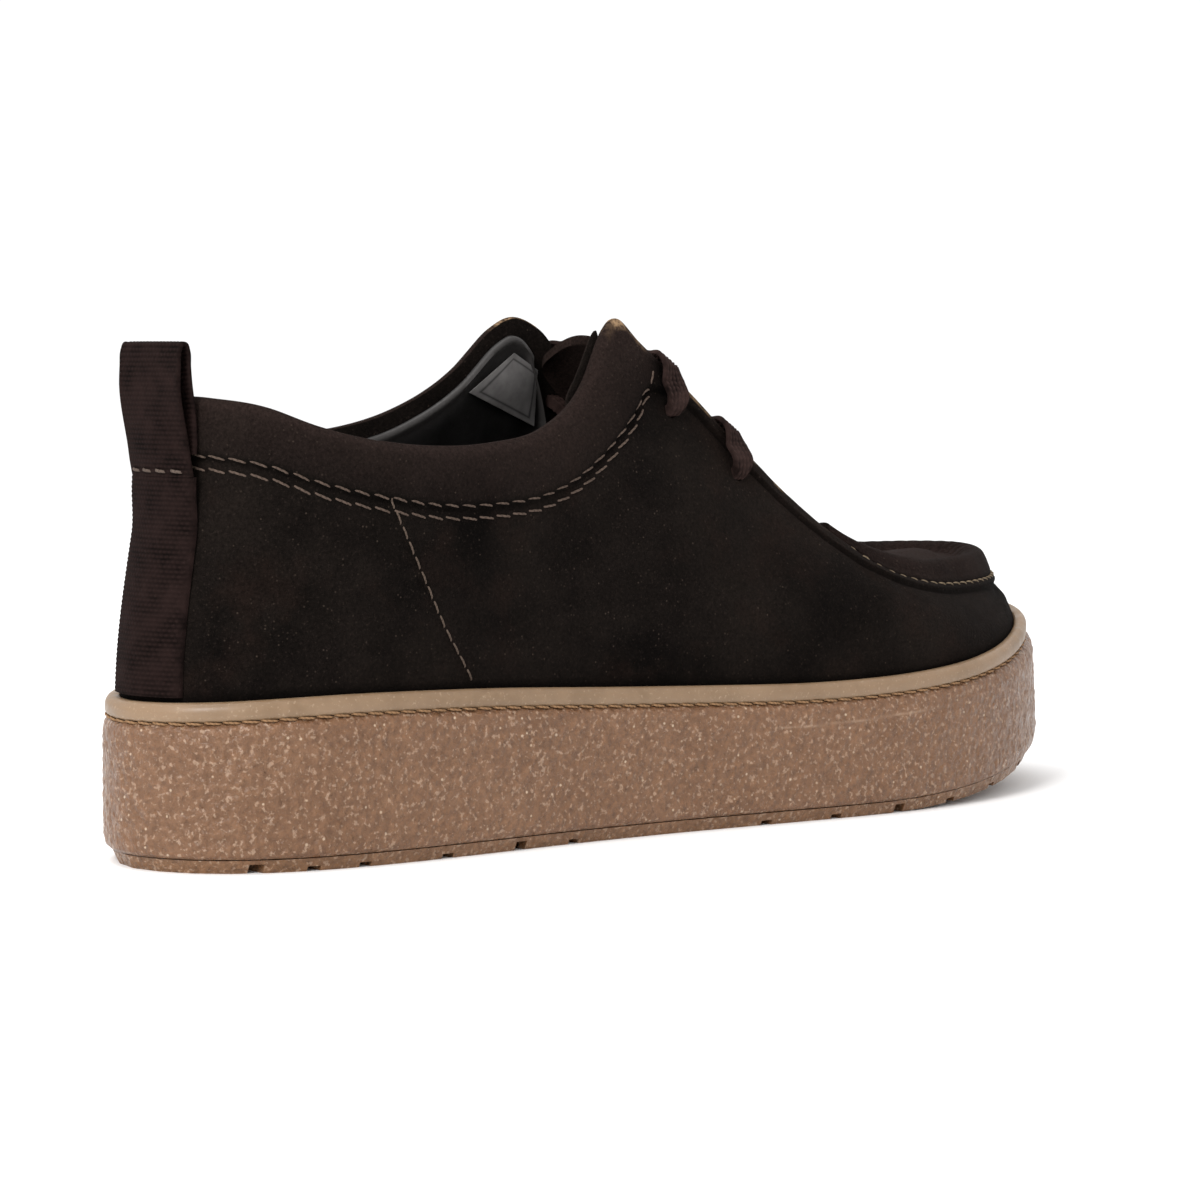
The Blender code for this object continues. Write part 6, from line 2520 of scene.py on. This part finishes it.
@dataclass
class Lace:
    """The flat braided lace: two straight bars that dive into the holes at both sides."""

    last: Last
    width: float = 0.0074
    thickness: float = 0.0016
    hole_width: float = 0.0036
    hole_thickness: float = 0.0035
    inside_reach: float = 0.0024
    bar_start: float = 0.0036
    steps: int = 860
    face_columns: int = 34
    plait_depth: float = 0.00040
    throat: Place = (0.0, -0.62, 0.78)

    def leg(self, turn: float, outward_bound: bool) -> list[tuple[Array, Array, float]]:
        """Return places of the lace from inside one hole to past the facing's edge.

        Args:
            turn: Turn of the hole.
            outward_bound: Order from inside to the bar, or from the bar to inside.

        Returns:
            Point, facing direction and flatness of each place.
        """
        last = self.last
        place = np.array([turn])
        rise = last.rise_below(place, HOLE_DEPTH)
        centre, normal = last.skin(place, rise)[0], last.normal(place, rise)[0]
        edge = last.top_edge(place)[0]
        edge_normal = last.normal(place, 1.0)[0]
        up_wall = (edge - centre) / np.linalg.norm(edge - centre)
        step = last.ball_width * float(last.section("step", place)[0])
        lift = self.thickness / 2 + step + 2 * last.clearance
        bar_lift = self.thickness / 2 + 3 * last.clearance
        throat = np.array(self.throat)
        inward = np.array((1.0 if turn < 1.0 else -1.0, 0.0, 0.0))
        high = last.rise_below(place, HOLE_DEPTH * 0.40)
        low = last.rise_below(place, HOLE_DEPTH * 0.80)
        wall = last.upper_wall
        high_point = last.skin(place, high)[0] + last.normal(place, high)[0] * (lift + last.clearance)
        places = [
            (centre - normal * (wall + self.inside_reach), -up_wall, 0.0),
            (centre - normal * wall * 0.5, -up_wall, 0.0),
            (centre + normal * wall * 0.5, -up_wall, 0.20),
            (last.skin(place, low)[0] + normal * (lift + 3 * last.clearance), normal, 0.92),
            (high_point, normal, 1.0),
            (edge + edge_normal * lift + up_wall * last.clearance, edge_normal + throat, 1.0),
            (edge + inward * self.bar_start + throat * bar_lift, throat, 1.0),
        ]
        return places if outward_bound else places[::-1]

    def build(self) -> None:
        """Build the lace with its braid."""
        high, low = HOLE_TURNS
        legs = (self.leg(low, True) + self.leg(2.0 - low, False)
                + self.leg(2.0 - high, True) + self.leg(high, False))
        route = np.array([point for point, _, _ in legs])
        facing = np.array([way for _, way, _ in legs])
        flatness = np.array([flat for _, _, flat in legs])
        knots = run_lengths(route)
        steps = np.linspace(0.0, knots[-1], self.steps)
        path = hermite(knots, route, steps)
        flat_share = np.clip(np.interp(steps, knots, flatness), 0.0, 1.0)
        along = unit(np.gradient(path, axis=0))
        way = np.column_stack([np.interp(steps, knots, facing[:, axis]) for axis in range(3)])
        across = unit(np.cross(along, way))
        outward = np.cross(across, along)
        widths = self.hole_width + (self.width - self.hole_width) * flat_share
        thick = self.hole_thickness + (self.thickness - self.hole_thickness) * flat_share
        finish = Webbing("braid", (0.0020, 0.0012, 0.0010), (0.0340, 0.0200, 0.0175))
        band = Ribbon(finish, herringbone, self.plait_depth, self.face_columns)
        shape = Shape()
        band.add(shape, path, across, outward, widths, thick)
        shape.make("braided_lace", finish, Slot.LACE, ("lace",))


@dataclass
class Lining:
    """The leather lining inside the quarters, its rolled edge, the flap facing and the blank label."""

    last: Last
    stations: int = 420
    rows: int = 44
    top_turn: float = 0.464
    front_turn: float = 0.490
    front_share: float = 0.22
    top_depth: float = 0.0036
    corner_depth: float = 0.0040
    corner_share: float = 0.945
    thickness: float = 0.0008
    bead: float = 0.0010
    pad_swell: float = 0.0013
    wave_relief: float = 0.00050
    wave_size: float = 0.014
    # Turn and depth of the label's corners, in order round it.
    label_corners: tuple[tuple[float, float], ...] = (
        (1.592, 0.0078), (1.5262, 0.0240), (1.5318, 0.0102), (1.553, 0.0083))
    strip_turns: tuple[float, float] = (0.388, 0.4290)
    strip_rise: float = 0.0021
    strip_drop: float = 0.0100
    strip_thickness: float = 0.0013
    strip_gap: float = 0.00035
    label_points: int = 70
    label_thickness: float = 0.0004
    frame_place: float = 0.80
    frame_width: float = 0.035

    def build(self) -> None:
        """Build the lining, the label and the flap's inner facing."""
        self.build_lining()
        self.build_label()
        self.build_strip()

    def inset(self, turns: Array, depth: Array) -> Array:
        """Return the distance from the outer face to the lining's hidden face.

        Args:
            turns: Places round the shoe.
            depth: Distance of each place below the top edge.

        Returns:
            One value a place.
        """
        last = self.last
        step = last.section("step", turns)
        pad = np.clip((step - 0.009) / 0.006, 0.0, 1.0)
        return last.upper_wall + self.pad_swell * pad * hill(depth, 0.006, 0.010) + 0.0002

    def place(self, turns: Array, depth: Array, lift: Array | float) -> Array:
        """Return points inside the shoe.

        Args:
            turns: Places round the shoe.
            depth: Distance of each place below the top edge.
            lift: Distance off the lining's hidden face.

        Returns:
            The points.
        """
        rise = self.last.rise_below(turns, depth)
        inset = self.inset(turns, depth) + lift
        return self.last.skin(turns, rise) - self.last.normal(turns, rise) * np.reshape(inset, (-1, 1))

    def build_lining(self) -> None:
        """Build the lining as one closed skin with a rolled top and front edge."""
        across = np.linspace(-1.0, 1.0, self.stations)
        corner = np.clip((np.abs(across) - self.corner_share) / (1 - self.corner_share), 0.0, 1.0)
        outer, inner, bead = [], [], []
        for share in np.linspace(0.0, 1.0, self.rows) ** 1.35:
            forward_share = float(smooth(share, 0.0, self.front_share))
            reach = self.top_turn + (self.front_turn - self.top_turn) * forward_share
            turns = across * reach
            top = self.top_depth + self.corner_depth * corner ** 2
            depth = top + (self.wall_depth(turns) - 0.0020 - top) * share
            down = depth - top
            forward = (1 - np.abs(across)) * reach * 0.37
            size = np.minimum(down, forward)
            fullness = 1.0 + 0.6 * smooth(down - forward, 0.0, 0.004)
            roll = self.bead * fullness * hill(size, 0.0012, 0.0012)
            points = self.place(turns, depth, 0.0)
            soft = self.wave_relief * ripple(points, self.wave_size, 41.0) * smooth(size, 0.002, 0.008)
            inner.append(self.place(turns, depth, self.thickness + roll + soft))
            outer.append(points)
            # The bead mark paints the rolled top and front edge lighter: painted highlight.
            bead.append(0.90 * hill(np.maximum(size - 0.0014, 0.0), 0.0, 0.0026))
        self.make_sheet("quarter_lining", np.stack(inner), np.stack(outer), LiningLeather(), Slot.INSOLE,
                        bead=np.stack(bead))

    def make_sheet(self, name: str, face: Array, back: Array, finish: Finish, slot: Slot,
                   **marks: Array) -> None:
        """Make one closed sheet from its two faces.

        Args:
            name: Name of the object.
            face: Grid of its shown face.
            back: Grid of its hidden face.
            finish: Finish that it wears.
            slot: Slot, passed on to the piece, which does not use it.
            marks: Named values of the shown face for the finish.
        """
        shape = Shape()
        one = shape.add_grid(face, **marks)
        two = shape.add_grid(back)
        shape.close(one, two)
        shape.make(name, finish, slot)

    def wall_depth(self, turns: Array) -> Array:
        """Return the length of the wall from its top edge to its foot at each turn."""
        points = np.stack([self.last.skin(turns, step) for step in np.linspace(1.0, 0.0, 61)])
        return np.sum(np.linalg.norm(np.diff(points, axis=0), axis=2), axis=0)

    def build_label(self) -> None:
        """Build the blank label with its ruled frame, on the medial side."""
        shares = np.linspace(0.0, 1.0, self.label_points)
        u, v = np.meshgrid(shares, shares)
        turns, depths = (np.array(values) for values in zip(*self.label_corners))
        lift = self.thickness + 0.00070
        back_top, back_low, front_top, top = self.place(turns, depths, lift)
        face = ((1 - u)[..., None] * (1 - v)[..., None] * back_top + (u * (1 - v))[..., None] * back_low
                + (u * v)[..., None] * front_top + ((1 - u) * v)[..., None] * top)
        face[..., 0] -= 0.0010 * 16 * u * (1 - u) * v * (1 - v)
        under = face + np.array((self.label_thickness, 0.0, 0.0))
        to_edge = np.maximum(np.abs(2 * u - 1), np.abs(2 * v - 1))
        ruled = 0.85 * hill(to_edge, self.frame_place, self.frame_width)
        self.make_sheet("blank_label", face, under, LabelFilm(), Slot.INSOLE, ink=ruled)

    def build_strip(self) -> None:
        """Build the suede facing inside the lateral flap, which stands a little past the flap's edge."""
        last = self.last
        columns, rows = 90, 26
        turns = np.linspace(*self.strip_turns, columns)
        up = unit(last.skin(turns, 1.0) - last.skin(turns, 0.97))
        edge = last.top_edge(turns)
        normal = last.normal(turns, 1.0)
        fade = np.sin(math.pi * np.linspace(0.0, 1.0, columns)) ** 0.45
        ragged = 1 + 0.16 * ripple(edge, 0.004, 51.0, 2)
        near, far = [], []
        for share in np.linspace(0.0, 1.0, rows):
            high = (self.strip_rise * fade * ragged)[:, None] * up
            low = last.skin(turns, last.rise_below(turns, self.strip_drop))
            spine = (edge + high) * share + low * (1 - share)
            roll = 0.0004 * share ** 8
            near.append(spine - normal * (last.upper_wall + self.strip_gap + roll))
            far.append(spine - normal * (last.upper_wall + self.strip_gap + self.strip_thickness - roll))
        nap = np.full((rows, columns), 0.5)
        self.make_sheet("flap_facing", np.stack(far), np.stack(near), Suede("facing_suede"), Slot.UPPER,
                        nap=nap)


@dataclass
class Studio:
    """The pale floor, the soft lights and the camera."""

    eye: Place = (-0.6779, 0.5868, 0.1225)
    aim: Place = (-0.002, 0.006, 0.0560)
    lens: float = 104.0
    floor_size: float = 60.0
    world_level: float = 1.06
    # Each light: name, place, length of its sides, and power in watts.
    lights: tuple[tuple[str, Place, float, float], ...] = (
        ("key", (-0.55, 1.35, 1.05), 0.55, 19.0),
        ("top", (0.25, 0.30, 1.60), 0.9, 9.0),
    )
    light_aim: Place = (0.0, 0.0, 0.06)
    sensor_width: float = 36.0
    clip_start: float = 0.05
    clip_end: float = 60.0

    def build(self) -> None:
        """Build the studio."""
        self.build_floor()
        self.build_world()
        for name, place, size, power in self.lights:
            self.add_light(name, place, size, power)
        self.build_camera()

    def build_floor(self) -> None:
        """Build the floor, which is not attached to the shoe's body."""
        half = self.floor_size / 2
        mesh = bpy.data.meshes.new("floor")
        mesh.from_pydata([(-half, -half, 0.0), (half, -half, 0.0), (half, half, 0.0), (-half, half, 0.0)], [],
                         [(0, 1, 2, 3)])
        mesh.materials.append(Backdrop().material())
        floor = bpy.data.objects.new("floor", mesh)
        bpy.context.scene.collection.objects.link(floor)

    def build_world(self) -> None:
        """Light the room evenly from all round."""
        world = bpy.data.worlds.new("room")
        world.use_nodes = True
        background = world.node_tree.nodes["Background"]
        background.inputs["Color"].default_value = (1.0, 1.0, 1.0, 1.0)
        background.inputs["Strength"].default_value = self.world_level
        bpy.context.scene.world = world
        bpy.context.scene.view_settings.view_transform = "Standard"

    def add_light(self, name: str, place: Place, size: float, power: float) -> None:
        """Add one soft square light that points at the shoe.

        Args:
            name: Name of the light.
            place: Where it stands.
            size: Length of its sides.
            power: Its power in watts.
        """
        data = bpy.data.lights.new(name, "AREA")
        data.size = size
        data.energy = power
        light = bpy.data.objects.new(name, data)
        light.location = place
        light.rotation_euler = (Vector(self.light_aim) - Vector(place)).to_track_quat("-Z", "Y").to_euler()
        bpy.context.scene.collection.objects.link(light)

    def build_camera(self) -> None:
        """Place the camera where the photo was taken from, aimed at the one shoe."""
        data = bpy.data.cameras.new("camera")
        data.lens = self.lens
        data.sensor_width = self.sensor_width
        data.clip_start = self.clip_start
        data.clip_end = self.clip_end
        camera = bpy.data.objects.new("camera", data)
        camera.location = self.eye
        camera.rotation_euler = (Vector(self.aim) - Vector(self.eye)).to_track_quat("-Z", "Y").to_euler()
        bpy.context.scene.collection.objects.link(camera)
        bpy.context.scene.camera = camera


def main() -> None:
    """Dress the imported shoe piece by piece."""
    logging.basicConfig(level=logging.INFO, format="%(asctime)s %(message)s", stream=sys.stdout)
    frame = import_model()
    last = Last()
    CrepeSole(last).build(frame["nodes"]["outsole"])
    SuedeUpper(last).build()
    Lining(last).build()
    Apron(last).build()
    Tongue(last).build()
    HeelWebbing(last).build()
    Lace(last).build()
    Studio().build()


if __name__ == "__main__":
    main()
